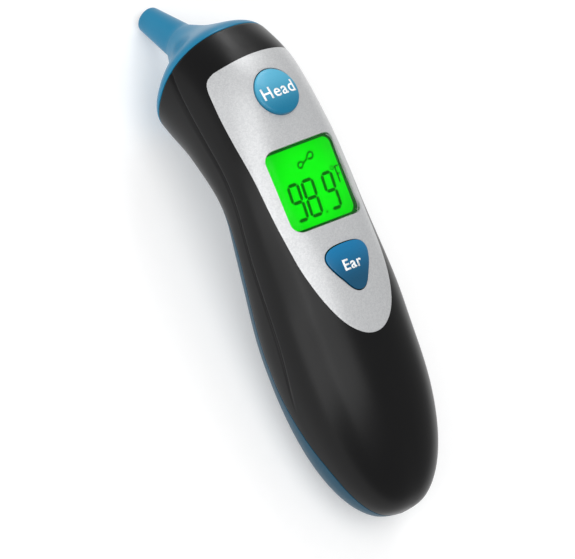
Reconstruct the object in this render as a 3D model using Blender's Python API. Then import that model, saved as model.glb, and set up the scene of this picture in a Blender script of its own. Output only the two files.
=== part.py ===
"""Digital ear thermometer: a two-part shell with a bent-back probe, an inlaid fascia and two push buttons.

The parts are modelled in a body frame in millimetres (X to the right, Y along the handle towards the probe,
Z out of the front face), and placed in metres under one empty that lays the thermometer on its back.
"""

import math
from dataclasses import dataclass

import bmesh
import bpy
import numpy as np
from mathutils import Matrix, Vector

MM = 0.001
GAP = 0.3
WELD = 0.003

# How the body lies on the table: its tilt about X, and where the body frame's origin then stands.
REST_TILT = math.radians(6.3)
REST_ORIGIN = Vector((0.0, -6.887, 26.493))

# Shell
WALL = 2.0
FRONT_WALL = 2.4
RING_POINTS = 36
INNER_RING_POINTS = 24
RINGS = 28
FOOT_LENGTH = 48.9
FOOT_ROUNDNESS = 2.3
FOOT_STATIONS = 6
FOOT_DROP = 0.5

# Fascia, display and buttons
FASCIA_THICKNESS = 1.2
FASCIA_TOP_Y = 59.4
DISPLAY_CENTRE = (0.0, 20.65)
DISPLAY_SIZE = (24.7, 23.5)
DISPLAY_CORNER = 3.0
LENS_INSET = 0.15
LENS_THICKNESS = 0.9
GLASS_TOP = 7.1
BUTTON_RISE = 0.7
BUTTON_TRAVEL = 0.5
HEAD_BUTTON_RADIUS = 6.8
HEAD_BUTTON_CENTRE = Vector((0.0, 47.3, 9.0))
HEAD_BUTTON_LEAN = math.radians(14.65)
EAR_BUTTON_CENTRE = Vector((0.0, -4.1, 12.2))
EAR_BUTTON_SIZE = (14.6, 13.4)
EAR_BUTTON_CORNER = 2.4
EAR_BUTTON_BOW = 0.5

# Circuit board and what sits on it
BOARD_TOP = 2.4
BOARD_THICKNESS = 1.2
BOARD_HALF_WIDTH = 13.0
BOARD_ENDS = (-12.5, 50.5)
BOARD_CORNER = 6.5
SWITCH_SIDE = 6.0
SWITCH_HEIGHT = 1.2
PLUNGER_HEIGHT = 0.5
BOARD_SCREWS = ((-10.6, 38.6), (10.6, 38.6), (-10.6, -8.6), (10.6, -8.6))

# Battery bay
CELL_RADIUS = 5.25
CELL_LENGTH = 43.6
CELL_NUB = (1.9, 0.9)
CELL_X = 5.45
CELL_Z = -13.4
BAY_HALF_WIDTH = 12.0
BAY_ENDS = (-52.8, -3.0)
BAY_CEILING = -7.8
TUB_WALL = 1.2
DOOR_ENDS = (-53.4, 9.8)
DOOR_HALF_WIDTH = 12.4
DOOR_CORNER = 4.0
DOOR_THICKNESS = 1.3
SCREW_BAY_FLOOR = -13.0
CASING_SCREWS = ((-8.0, 5.75), (8.0, 5.75))
POST_RADIUS = 1.95
SCREW_RADIUS = 0.8
SCREW_HEAD = (1.8, 1.3)
BOARD_SCREW_RADIUS = 0.8

# Probe
PROBE_BEND = math.radians(47.5)
PROBE_AXIS = Vector((0.0, math.cos(PROBE_BEND), -math.sin(PROBE_BEND)))
TUBE_BASE = Vector((0.0, 69.5, -22.6))
TUBE_LENGTH = 13.9
TUBE_RADII = (5.2, 3.75)
TIP_ROUND = 1.1
SKIRT_BEND = math.radians(36)
NOZZLE_WALL = 1.5
SPIGOT_DEPTH = 3.0


@dataclass(frozen=True)
class Station:
    """One cross-section of the shell: its front and back points (Y, Z), its half width and how square it is."""

    front: tuple
    back: tuple
    half_width: float
    roundness: float


STATIONS = (
    Station((-22.7, 11.9), (-22.7, -23.3), 21.0, 2.4),
    Station((-13.5, 12.3), (-13.5, -22.5), 21.0, 2.4),
    Station((-3.2, 12.2), (-3.2, -20.7), 20.4, 2.4),
    Station((12.2, 10.9), (12.2, -17.1), 19.5, 2.5),
    Station((22.5, 10.3), (21.5, -15.3), 19.1, 2.6),
    Station((30.5, 10.0), (27.5, -16.6), 19.0, 2.6),
    Station((40.0, 9.6), (33.5, -19.9), 18.9, 2.5),
    Station((49.0, 8.6), (38.8, -23.2), 18.9, 2.4),
    Station((59.5, 5.0), (43.2, -26.1), 19.1, 2.4),
    Station((67.4, -0.8), (46.2, -27.6), 19.4, 2.3),
)

# The parting line between the front and rear casings, seen from the side.
PARTING = (
    (-75.0, -6.2), (-62.0, -6.4), (-54.0, -7.0), (-47.0, -8.4), (-40.0, -9.9), (-27.0, -12.3), (-13.5, -11.7),
    (0.0, -9.7), (13.5, -7.7), (21.0, -8.6), (28.0, -11.8), (36.0, -17.2), (43.0, -22.4), (52.0, -29.5), (80.0, -52.0),
)

# The fascia's right edge, from the top corner round to the tip.
FASCIA_EDGE = (
    (14.2, 57.5), (15.9, 55.0), (16.5, 49.0), (16.6, 40.5), (16.1, 27.0), (15.3, 13.5), (14.3, 0.0),
    (12.5, -8.2), (10.3, -14.5), (7.4, -19.0), (3.9, -22.0), (0.0, -23.0),
)


# ---------------------------------------------------------------- meshes

def clear_scene():
    """Remove every object of the open file."""
    for thing in list(bpy.data.objects):
        bpy.data.objects.remove(thing, do_unlink=True)


def to_object(shape, name):
    """Turn a bmesh into a linked object, with its faces pointing outwards."""
    bmesh.ops.recalc_face_normals(shape, faces=shape.faces)
    mesh = bpy.data.meshes.new(name)
    shape.to_mesh(mesh)
    shape.free()
    thing = bpy.data.objects.new(name, mesh)
    bpy.context.scene.collection.objects.link(thing)
    return thing


def combine(target, tool, operation):
    """Apply an exact Boolean of the tool to the target, and drop the tool."""
    cut = target.modifiers.new("combine", "BOOLEAN")
    cut.operation = operation
    cut.solver = "EXACT"
    cut.object = tool
    bpy.context.view_layer.update()
    evaluated = target.evaluated_get(bpy.context.evaluated_depsgraph_get())
    result = bpy.data.meshes.new_from_object(evaluated)
    target.modifiers.remove(cut)
    target.data = result
    bpy.data.objects.remove(tool, do_unlink=True)
    return target


def cut(target, tool):
    """Take the tool's volume away from the target."""
    return combine(target, tool, "DIFFERENCE")


def join(target, tool):
    """Fuse the tool's volume into the target."""
    return combine(target, tool, "UNION")


def keep(target, tool):
    """Keep only what the target shares with the tool."""
    return combine(target, tool, "INTERSECT")


def loft(rings, name, ends_meet=False):
    """A closed solid through rings of points; a ring of one point is a pole, and ends that meet aren't capped."""
    shape = bmesh.new()
    rows = []
    for ring in rings:
        rows.append([shape.verts.new(point) for point in ring])
    for low, high in zip(rows, rows[1:] + (rows[:1] if ends_meet else [])):
        count = max(len(low), len(high))
        for i in range(count):
            j = (i + 1) % count
            if len(low) == 1:
                shape.faces.new((low[0], high[j], high[i]))
            elif len(high) == 1:
                shape.faces.new((low[i], low[j], high[0]))
            else:
                shape.faces.new((low[i], low[j], high[j], high[i]))
    for end in (rows[0], rows[-1]):
        if len(end) > 1 and not ends_meet:
            shape.faces.new(end)
    return to_object(shape, name)


def prism(outline, low, high, name):
    """An outline in X and Y, extruded along Z from low to high."""
    return loft([[(x, y, low) for x, y in outline], [(x, y, high) for x, y in outline]], name)


def rounded_rectangle(centre, size, radius, steps=4):
    """The outline of a rectangle with round corners."""
    half_x = size[0] / 2 - radius
    half_y = size[1] / 2 - radius
    points = []
    for corner, (sx, sy) in enumerate(((1, 1), (-1, 1), (-1, -1), (1, -1))):
        for i in range(steps + 1):
            angle = math.pi / 2 * (corner + i / steps)
            x = centre[0] + sx * half_x + radius * math.cos(angle)
            y = centre[1] + sy * half_y + radius * math.sin(angle)
            points.append((x, y))
    return points


def box(low, high, name):
    """A box between two corners."""
    return prism([(low[0], low[1]), (high[0], low[1]), (high[0], high[1]), (low[0], high[1])], low[2], high[2], name)


def turned(profile, axis, origin, name, sides=24):
    """A closed solid turned about an axis from (radius, distance along the axis) pairs."""
    turn = Vector((0, 0, 1)).rotation_difference(Vector(axis)).to_matrix()
    rings = []
    for radius, along in profile:
        if radius == 0:
            ring = [Vector((0, 0, along))]
        else:
            angles = [2 * math.pi * i / sides for i in range(sides)]
            ring = [Vector((radius * math.cos(a), radius * math.sin(a), along)) for a in angles]
        rings.append([origin + turn @ point for point in ring])
    return loft(rings, name)


def cylinder(radius, start, end, name, sides=24):
    """A cylinder between two points."""
    start = Vector(start)
    end = Vector(end)
    return turned([(radius, 0.0), (radius, (end - start).length)], end - start, start, name, sides)


def smooth_path(points, steps):
    """A Catmull-Rom curve through the points, with the given steps in each span."""
    points = [np.array(p, float) for p in points]
    padded = [2 * points[0] - points[1], *points, 2 * points[-1] - points[-2]]
    path = []
    for a, b, c, d in zip(padded, padded[1:], padded[2:], padded[3:]):
        for i in range(steps):
            t = i / steps
            path.append(
                0.5 * (2 * b + (c - a) * t + (2 * a - 5 * b + 4 * c - d) * t**2 + (3 * b - a - 3 * c + d) * t**3)
            )
    path.append(points[-1])
    return path


# ---------------------------------------------------------------- the shell's surface

def superellipse(middle, half_width, up, count, roundness):
    """A ring of points round a section that spans half_width in X and the vector up in its own plane."""
    ring = []
    for i in range(count):
        angle = 2 * math.pi * (i + 0.5) / count
        across = math.copysign(abs(math.cos(angle)) ** (2 / roundness), math.cos(angle))
        rise = math.copysign(abs(math.sin(angle)) ** (2 / roundness), math.sin(angle))
        ring.append(middle + Vector((half_width * across, 0, 0)) + up * rise)
    return ring


def natural_spline(knots, rows, places):
    """Rows of values read at places along a smooth curve that passes through each row at its knot."""
    count = len(knots)
    steps = np.diff(knots)
    system = np.eye(count)
    target = np.zeros(rows.shape)
    for i in range(1, count - 1):
        system[i, i - 1:i + 2] = (steps[i - 1], 2 * (steps[i - 1] + steps[i]), steps[i])
        target[i] = 6 * ((rows[i + 1] - rows[i]) / steps[i] - (rows[i] - rows[i - 1]) / steps[i - 1])
    bends = np.linalg.solve(system, target)
    span = np.clip(np.searchsorted(knots, places) - 1, 0, count - 2)
    width = steps[span][:, None]
    low = (knots[span + 1] - places)[:, None] / width
    high = 1 - low
    straight = low * rows[span] + high * rows[span + 1]
    return straight + ((low**3 - low) * bends[span] + (high**3 - high) * bends[span + 1]) * width**2 / 6


def shell_rows():
    """The stations as rows of numbers, led by those of the round foot, which shrink to a pole."""
    widest = STATIONS[0]
    middle_z = (widest.front[1] + widest.back[1]) / 2
    half_depth = (widest.front[1] - widest.back[1]) / 2
    rows = []
    for i in range(FOOT_STATIONS):
        angle = math.pi / 2 * i / FOOT_STATIONS
        reach = math.cos(angle) ** (2 / FOOT_ROUNDNESS)
        share = math.sin(angle) ** (2 / FOOT_ROUNDNESS)
        y = widest.front[0] - FOOT_LENGTH * reach
        z = middle_z - FOOT_DROP * reach
        rows.append((y, z + half_depth * share, y, z - half_depth * share,
                     widest.half_width * share, widest.roundness))
    rows.extend((*s.front, *s.back, s.half_width, s.roundness) for s in STATIONS)
    return np.array(rows)


def shell_sections(count):
    """Evenly spread sections from the foot's pole to the rim, as (middle, half width, up, roundness)."""
    rows = shell_rows()
    steps = np.linalg.norm(np.diff(rows[:, :5], axis=0), axis=1)
    knots = np.concatenate(([0.0], np.cumsum(steps)))
    sections = []
    for row in natural_spline(knots, rows, np.linspace(0.0, knots[-1], count)):
        front_y, front_z, back_y, back_z, half_width, roundness = (float(value) for value in row)
        middle = Vector((0, (front_y + back_y) / 2, (front_z + back_z) / 2))
        up = Vector((0, (front_y - back_y) / 2, (front_z - back_z) / 2))
        sections.append((middle, half_width, up, roundness))
    return sections


SECTIONS = shell_sections(RINGS)
RIM_MIDDLE, RIM_HALF_WIDTH, RIM_UP, RIM_ROUNDNESS = SECTIONS[-1]
RIM_NORMAL = Vector((0, RIM_UP.z, -RIM_UP.y)).normalized()


def shrunk(section, inset):
    """The same section, smaller by the inset all round."""
    middle, half_width, up, roundness = section
    return middle, half_width - inset, up * (1 - inset / up.length), roundness


def body_solid(inset, name, count=RING_POINTS, beyond=0.0):
    """The whole body as one solid, smaller by the inset, running past the rim by the given length."""
    pole = SECTIONS[0][0] + Vector((0, inset, 0))
    widest_y = STATIONS[0].front[0]
    rings = [[pole]]
    for section in SECTIONS[1:]:
        middle, half_width, up, roundness = shrunk(section, inset)
        if middle.y < widest_y:
            middle = Vector((0, middle.y + inset * (widest_y - middle.y) / FOOT_LENGTH, middle.z))
        if half_width > 1.5 * inset:
            rings.append(superellipse(middle, half_width, up, count, roundness))
    if beyond:
        middle, half_width, up, roundness = shrunk(SECTIONS[-1], inset)
        rings.append(superellipse(middle + RIM_NORMAL * beyond, half_width, up, count, roundness))
    return loft(rings, name)


def side_block(upper, name, gap=GAP):
    """The space in front of the parting line, or behind it, as a block across the whole body."""
    reach = 60.0 if upper else -60.0
    shift = gap / 2 if upper else -gap / 2
    edge = [(y, z + shift) for y, z in smooth_path(PARTING, 3)]
    far = [(edge[-1][0], reach), (edge[0][0], reach)]
    outline = [*edge, *far]
    half = 40.0
    return loft([[(-half, y, z) for y, z in outline], [(half, y, z) for y, z in outline]], name)


def fascia_outline(grow=0.0):
    """The fascia's outline, with an optional margin."""
    edge = [tuple(p) for p in smooth_path(FASCIA_EDGE, 3)]
    top = []
    for i in range(1, 6):
        x = FASCIA_EDGE[0][0] * (2 * i / 6 - 1)
        drop = (FASCIA_TOP_Y - FASCIA_EDGE[0][1]) * (x / FASCIA_EDGE[0][0]) ** 2
        top.append((x, FASCIA_TOP_Y - drop))
    left = [(-x, y) for x, y in reversed(edge[:-1])]
    outline = [*edge, *left, *top]
    if grow:
        outline = offset_outline(outline, grow)
    return outline


def offset_outline(outline, grow):
    """Move each point of an outline outwards along its own normal."""
    middle = Vector((sum(p[0] for p in outline), sum(p[1] for p in outline))) / len(outline)
    moved = []
    for i, point in enumerate(outline):
        along = Vector(outline[(i + 1) % len(outline)]) - Vector(outline[i - 1])
        normal = Vector((along.y, -along.x)).normalized()
        if normal.dot(Vector(point) - middle) < 0:
            normal = -normal
        moved.append(tuple(Vector(point) + normal * grow))
    return moved


def ear_outline(grow=0.0):
    """The ear button's outline, a triangle with bowed sides and round corners that points to the foot."""
    half_width, length = EAR_BUTTON_SIZE[0] / 2, EAR_BUTTON_SIZE[1]
    top = EAR_BUTTON_CENTRE.y + length / 2
    corner = EAR_BUTTON_CORNER
    right_edge = [(half_width * share, top - EAR_BUTTON_BOW * share**2) for share in (0.0, 0.3, 0.6)]
    for turn in (60, 30, 0, -25):
        angle = math.radians(turn)
        right_edge.append((half_width - corner * (1 - math.cos(angle)),
                           top - EAR_BUTTON_BOW - corner * (1 - math.sin(angle))))
    right_edge.append((half_width * 0.55, top - length * 0.66))
    for turn in (-30, -60):
        angle = math.radians(turn)
        right_edge.append((corner * math.cos(angle), top - length + corner * (1 + math.sin(angle))))
    right_edge.append((0.0, top - length))
    outline = right_edge + [(-x, y) for x, y in reversed(right_edge[1:-1])]
    return offset_outline(outline, grow) if grow else outline


# ---------------------------------------------------------------- placing and looks

@dataclass(frozen=True)
class Finish:
    """A plain surface for one kind of plastic or metal."""

    colour: tuple
    roughness: float
    metallic: float = 0.0
    alpha: float = 1.0


FINISHES = {
    "shell_black": Finish((0.018, 0.018, 0.02), 0.28),
    "shell_blue": Finish((0.03, 0.20, 0.30), 0.35),
    "button_blue": Finish((0.02, 0.26, 0.42), 0.3),
    "fascia_silver": Finish((0.72, 0.72, 0.73), 0.38, 0.3),
    "clear_lens": Finish((0.85, 0.95, 0.85), 0.05, 0.0, 0.35),
    "display_green": Finish((0.05, 0.85, 0.06), 0.4),
    "white_plastic": Finish((0.8, 0.8, 0.8), 0.5),
    "board_green": Finish((0.02, 0.16, 0.07), 0.5),
    "chip_black": Finish((0.02, 0.02, 0.02), 0.5),
    "rubber_grey": Finish((0.15, 0.15, 0.16), 0.8),
    "steel": Finish((0.6, 0.6, 0.62), 0.3, 1.0),
    "gold": Finish((0.83, 0.6, 0.25), 0.25, 1.0),
    "cell_wrap": Finish((0.05, 0.12, 0.4), 0.35),
    "copper_flex": Finish((0.5, 0.25, 0.05), 0.5),
}


def material(finish_name):
    """The named finish as a material, made once."""
    found = bpy.data.materials.get(finish_name)
    if found:
        return found
    finish = FINISHES[finish_name]
    made = bpy.data.materials.new(finish_name)
    made.use_nodes = True
    shader = made.node_tree.nodes["Principled BSDF"]
    shader.inputs["Base Color"].default_value = (*finish.colour, 1.0)
    shader.inputs["Roughness"].default_value = finish.roughness
    shader.inputs["Metallic"].default_value = finish.metallic
    shader.inputs["Alpha"].default_value = finish.alpha
    return made


def weld(mesh):
    """Merge the points that the Booleans left almost on top of each other."""
    bm = bmesh.new()
    bm.from_mesh(mesh)
    bmesh.ops.remove_doubles(bm, verts=bm.verts, dist=WELD)
    bmesh.ops.dissolve_degenerate(bm, edges=bm.edges, dist=WELD)
    bm.to_mesh(mesh)
    bm.free()


def place(thing, name, finish_name, frame, pivot=None):
    """Name a part, give it its finish, and stand it in the body frame with its origin at the pivot."""
    weld(thing.data)
    thing.name = name
    thing.data.name = name
    pivot = Vector(pivot) if pivot is not None else Vector((0, 0, 0))
    thing.data.transform(Matrix.Scale(MM, 4) @ Matrix.Translation(-pivot))
    thing.data.materials.clear()
    thing.data.materials.append(material(finish_name))
    thing.data.shade_smooth()
    thing.data.set_sharp_from_angle(angle=math.radians(30))
    thing.parent = frame
    thing.location = pivot * MM
    return thing


# ---------------------------------------------------------------- casings

def button_axis():
    """The direction in which the head button stands out of the fascia."""
    return Vector((0, math.sin(HEAD_BUTTON_LEAN), math.cos(HEAD_BUTTON_LEAN)))


def cut_front_openings(thing, display_grow):
    """Cut the display window and both button holes through a piece of the front."""
    size = (DISPLAY_SIZE[0] + 2 * display_grow, DISPLAY_SIZE[1] + 2 * display_grow)
    window = rounded_rectangle(DISPLAY_CENTRE, size, DISPLAY_CORNER)
    cut(thing, prism(window, -2.0, 20.0, "window"))
    axis = button_axis()
    start = HEAD_BUTTON_CENTRE - axis * 6.0
    cut(thing, cylinder(HEAD_BUTTON_RADIUS + GAP, start, start + axis * 12.0, "head_hole", 40))
    cut(thing, prism(ear_outline(GAP), 4.0, 20.0, "ear_hole"))


def join_post(shell, radius, foot):
    """Add a post that stands from a point up to the front shell's inner face."""
    post = cylinder(radius, foot, (foot[0], foot[1], 20.0), "post", 16)
    keep(post, body_solid(WALL, "post_limit"))
    join(shell, post)


def make_front_casing(frame):
    """The black front shell, recessed for the fascia, with posts for the board and the casing screws."""
    shell = body_solid(0.0, "front")
    cut(shell, body_solid(FRONT_WALL, "inside", INNER_RING_POINTS, beyond=4.0))
    keep(shell, side_block(True, "front_space"))
    recess = prism(fascia_outline(GAP), -3.0, 20.0, "recess")
    cut(recess, body_solid(FASCIA_THICKNESS + GAP, "recess_floor", beyond=3.0))
    cut(shell, recess)
    cut_front_openings(shell, 1.2)
    for x, y in CASING_SCREWS:
        join_post(shell, POST_RADIUS, (x, y, SCREW_BAY_FLOOR + TUB_WALL + 2 * GAP))
        cut(shell, cylinder(SCREW_RADIUS + GAP, (x, y, -14.0), (x, y, -3.4), "pilot", 12))
    for x, y in BOARD_SCREWS:
        join_post(shell, 2.0, (x, y, BOARD_TOP + GAP))
        cut(shell, cylinder(BOARD_SCREW_RADIUS + GAP, (x, y, -1.0), (x, y, BOARD_TOP + 3.2), "pilot", 12))
    return place(shell, "front_casing", "shell_black", frame)


def door_outline(grow=0.0):
    """The battery door's outline."""
    middle = (0.0, sum(DOOR_ENDS) / 2)
    size = (2 * (DOOR_HALF_WIDTH + grow), DOOR_ENDS[1] - DOOR_ENDS[0] + 2 * grow)
    return rounded_rectangle(middle, size, DOOR_CORNER)


def rest_block(name):
    """The space below the plane on which the thermometer lies, as a block in the body frame."""
    block = box((-60, -150, -60), (60, 150, 0), name)
    turn = Matrix.Rotation(-REST_TILT, 4, "X")
    block.data.transform(turn @ Matrix.Translation(-REST_ORIGIN))
    return block


def make_rear_casing(frame):
    """The blue rear shell, with the battery bay moulded into it."""
    shell = body_solid(0.0, "rear")
    cut(shell, body_solid(WALL, "inside", INNER_RING_POINTS, beyond=4.0))
    keep(shell, side_block(False, "rear_space"))
    outer = BAY_HALF_WIDTH + TUB_WALL
    tub = box((-outer, BAY_ENDS[0] - TUB_WALL, -40), (outer, BAY_ENDS[1] + TUB_WALL, BAY_CEILING + TUB_WALL), "tub")
    keep(tub, body_solid(0.6, "tub_limit"))
    join(shell, tub)
    ledge = box((-outer, BAY_ENDS[1], -40), (outer, DOOR_ENDS[1] + 0.9, SCREW_BAY_FLOOR + 1.5), "screw_ledge")
    keep(ledge, body_solid(0.6, "ledge_limit"))
    join(shell, ledge)
    lid_space = prism(door_outline(GAP), -40, 0, "lid_space")
    cut(lid_space, body_solid(DOOR_THICKNESS + GAP, "lid_floor", beyond=3.0))
    cut(shell, lid_space)
    cut(shell, box((-BAY_HALF_WIDTH + 0.6, BAY_ENDS[0], -40), (BAY_HALF_WIDTH - 0.6, BAY_ENDS[1], BAY_CEILING), "bay"))
    screw_end = DOOR_ENDS[1] - 0.9
    low = (-BAY_HALF_WIDTH + 0.6, BAY_ENDS[1] + TUB_WALL, -40)
    cut(shell, box(low, (BAY_HALF_WIDTH - 0.6, screw_end, SCREW_BAY_FLOOR), "screw_bay"))
    for x, y in CASING_SCREWS:
        cut(shell, cylinder(SCREW_RADIUS + GAP, (x, y, -16), (x, y, -8), "screw_hole", 12))
    return place(shell, "rear_casing", "shell_blue", frame)


def make_battery_door(frame):
    """The lift-off door over the cells, with a thumb ridge and the flat that the handle rests on."""
    door = body_solid(0.0, "door")
    cut(door, body_solid(DOOR_THICKNESS, "door_inside", beyond=3.0))
    keep(door, prism(door_outline(), -40, -8.0, "door_space"))
    cut(door, rest_block("rest"))
    middle = (0.0, sum(DOOR_ENDS) / 2, CELL_Z)
    return place(door, "battery_door", "shell_blue", frame, middle)


# ---------------------------------------------------------------- probe

def skirt_rings(insets):
    """The sections of the probe's skirt from the rim to the tube's base, each smaller by its own inset."""
    flare = (
        (0.0, 19.4, 17.1), (1.3, 18.8, 16.5), (2.7, 17.2, 14.7), (4.4, 14.4, 12.5), (6.8, 11.2, 10.2),
        (9.5, 8.5, 8.0), (12.5, 6.5, 6.4), (15.6, TUBE_RADII[0], TUBE_RADII[0]),
    )
    rings = []
    span = flare[-1][0]
    chord = TUBE_BASE - RIM_MIDDLE
    leave = Vector((0, math.cos(SKIRT_BEND), -math.sin(SKIRT_BEND))) * chord.length
    arrive = PROBE_AXIS * chord.length
    turn_from = math.atan2(-RIM_NORMAL.z, RIM_NORMAL.y)
    for (along, half_width, half_depth), inset in zip(flare, insets):
        t = along / span
        middle = (
            RIM_MIDDLE * (2 * t**3 - 3 * t**2 + 1) + leave * (t**3 - 2 * t**2 + t)
            + TUBE_BASE * (3 * t**2 - 2 * t**3) + arrive * (t**3 - t**2)
        )
        lean = turn_from + (PROBE_BEND - turn_from) * t
        up = Vector((0, math.sin(lean), math.cos(lean)))
        roundness = RIM_ROUNDNESS + (2.0 - RIM_ROUNDNESS) * t
        rings.append(superellipse(middle, half_width - inset, up * (half_depth - inset), RING_POINTS, roundness))
    return rings


def tube_ring(distance, radius):
    """A round section of the probe's tube at a distance from its base."""
    up = Vector((0, math.sin(PROBE_BEND), math.cos(PROBE_BEND)))
    return superellipse(TUBE_BASE + PROBE_AXIS * distance, radius, up * radius, RING_POINTS, 2.0)


def make_probe_nozzle(frame):
    """The blue flared probe, hollow through, with a spigot that plugs into the casings' rim."""
    straight = TUBE_LENGTH - TIP_ROUND
    middle_radius = sum(TUBE_RADII) / 2
    outside = skirt_rings([0.0] * 8)
    outside.append(tube_ring(straight / 2, middle_radius))
    outside.append(tube_ring(straight, TUBE_RADII[1]))
    for angle in (30, 60, 90):
        sweep = math.radians(angle)
        radius = TUBE_RADII[1] - TIP_ROUND * (1 - math.cos(sweep))
        outside.append(tube_ring(straight + TIP_ROUND * math.sin(sweep), radius))
    bore_radius = TUBE_RADII[1] - NOZZLE_WALL
    bore = [tube_ring(TUBE_LENGTH, bore_radius), tube_ring(straight, bore_radius)]
    bore.append(tube_ring(straight / 2, middle_radius - NOZZLE_WALL))
    spigot_inset = FRONT_WALL + 2 * GAP
    hollow = skirt_rings((spigot_inset + 1.2, 3.5, 2.6, 1.8, NOZZLE_WALL, NOZZLE_WALL, NOZZLE_WALL, NOZZLE_WALL))
    deep = RIM_NORMAL * SPIGOT_DEPTH
    spigot_foot = [point - deep for point in hollow[0]]
    spigot_skin = skirt_rings((spigot_inset,))[0]
    rings = outside + bore + hollow[::-1] + [spigot_foot, [point - deep for point in spigot_skin], spigot_skin]
    nozzle = loft(rings, "nozzle", ends_meet=True)
    nozzle.data.transform(Matrix.Translation(RIM_NORMAL * GAP))
    return place(nozzle, "probe_nozzle", "shell_blue", frame)


def make_sensor_parts(frame):
    """The window in the tip, the waveguide, the sensor can, its holder, its board and its flexible lead."""
    tip = TUBE_BASE + PROBE_AXIS * TUBE_LENGTH
    bore = TUBE_RADII[1] - NOZZLE_WALL
    at = [tip - PROBE_AXIS * back for back in (0.6, 1.2, 1.5, 24.0)]
    place(cylinder(bore - 0.3, at[1], at[0], "w"), "tip_window", "clear_lens", frame)
    tube = cylinder(1.8, at[3], at[2], "tube")
    cut(tube, cylinder(1.3, at[3] - PROBE_AXIS, at[2] + PROBE_AXIS, "lumen", 16))
    place(tube, "waveguide_tube", "gold", frame)
    holder_end = tip - PROBE_AXIS * 18.5
    holder = cylinder(4.4, tip - PROBE_AXIS * 23.0, holder_end, "holder")
    cut(holder, cylinder(2.1, tip - PROBE_AXIS * 24.0, holder_end + PROBE_AXIS, "holder_bore", 20))
    place(holder, "sensor_holder", "steel", frame)
    can = turned([(2.7, 0.0), (2.7, 0.4), (2.3, 0.4), (2.3, 2.6)], PROBE_AXIS, tip - PROBE_AXIS * 27.0, "can")
    place(can, "thermopile_sensor", "steel", frame)
    plate = cylinder(4.6, tip - PROBE_AXIS * 28.3, tip - PROBE_AXIS * 27.3, "plate")
    place(plate, "sensor_board", "board_green", frame)
    start = tip - PROBE_AXIS * 28.7
    route = ((start.y - 0.3, start.z), (57.0, -4.0), (55.5, -0.5), (52.0, 0.2), (47.0, 0.4))
    lead = ribbon(route, 5.0, 0.25, "lead")
    place(lead, "sensor_lead", "copper_flex", frame)


def ribbon(route, width, thickness, name):
    """A flat strip of the given width along a route in the Y-Z plane."""
    path = [Vector((0, p[0], p[1])) for p in smooth_path(route, 4)]
    rings = []
    for i, point in enumerate(path):
        ahead = path[min(i + 1, len(path) - 1)]
        behind = path[max(i - 1, 0)]
        along = (ahead - behind).normalized()
        normal = Vector((0, -along.z, along.y)) * thickness / 2
        side = Vector((width / 2, 0, 0))
        rings.append([point + side + normal, point - side + normal, point - side - normal, point + side - normal])
    return loft(rings, name)


# ---------------------------------------------------------------- fascia, display and buttons

def make_fascia(frame):
    """The silver inlay, following the shell's surface."""
    panel = body_solid(0.0, "fascia")
    cut(panel, body_solid(FASCIA_THICKNESS, "fascia_back", beyond=3.0))
    keep(panel, prism(fascia_outline(), -2.0, 20.0, "fascia_space"))
    cut_front_openings(panel, 0.0)
    return place(panel, "fascia_panel", "fascia_silver", frame)


def make_display(frame):
    """The lens, the display glass, its backlight, its frame and its contact strip."""
    lens_size = (DISPLAY_SIZE[0] - 2 * GAP, DISPLAY_SIZE[1] - 2 * GAP)
    flat = rounded_rectangle(DISPLAY_CENTRE, lens_size, DISPLAY_CORNER)
    lens = body_solid(LENS_INSET, "lens")
    cut(lens, body_solid(LENS_INSET + LENS_THICKNESS, "lens_back", beyond=3.0))
    keep(lens, prism(flat, -2.0, 20.0, "lens_space"))
    place(lens, "display_lens", "clear_lens", frame)
    glass_back = GLASS_TOP - 1.7
    light_top = glass_back - GAP
    light_back = BOARD_TOP + GAP
    place(prism(flat, glass_back, GLASS_TOP, "glass"), "lcd_glass", "display_green", frame)
    place(prism(flat, light_back, light_top, "light"), "lcd_backlight", "white_plastic", frame)
    outer = rounded_rectangle(DISPLAY_CENTRE, (lens_size[0] + 2.2, lens_size[1] + 2.2), DISPLAY_CORNER)
    holder = prism(outer, light_back, light_top - 0.3, "holder")
    inner = rounded_rectangle(DISPLAY_CENTRE, (lens_size[0] + 2 * GAP, lens_size[1] + 2 * GAP), DISPLAY_CORNER)
    cut(holder, prism(inner, -5.0, 15.0, "holder_inside"))
    place(holder, "lcd_holder", "white_plastic", frame)


def make_head_button(frame):
    """The round button near the probe, with the collar that keeps it in its hole."""
    axis = button_axis()
    profile = [
        (7.4, -4.3), (7.4, -3.8), (HEAD_BUTTON_RADIUS, -3.8), (HEAD_BUTTON_RADIUS, BUTTON_RISE - 0.4),
        (HEAD_BUTTON_RADIUS - 0.4, BUTTON_RISE),
    ]
    button = turned(profile, axis, HEAD_BUTTON_CENTRE, "head", 40)
    return place(button, "head_button", "button_blue", frame, HEAD_BUTTON_CENTRE)


def make_ear_button(frame):
    """The shield-shaped button below the display, with its collar and stem."""
    top = EAR_BUTTON_CENTRE.z + BUTTON_RISE
    collar_top = 8.0
    button = prism(ear_outline(), collar_top - 0.2, top, "ear")
    join(button, prism(ear_outline(0.8), collar_top - 0.8, collar_top, "collar"))
    stem_end = BOARD_TOP + SWITCH_HEIGHT + PLUNGER_HEIGHT + BUTTON_TRAVEL + 0.15
    middle = (0.0, EAR_BUTTON_CENTRE.y)
    join(button, cylinder(1.6, (*middle, stem_end), (*middle, collar_top), "stem", 16))
    return place(button, "ear_button", "button_blue", frame, EAR_BUTTON_CENTRE)


# ---------------------------------------------------------------- electronics

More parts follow.
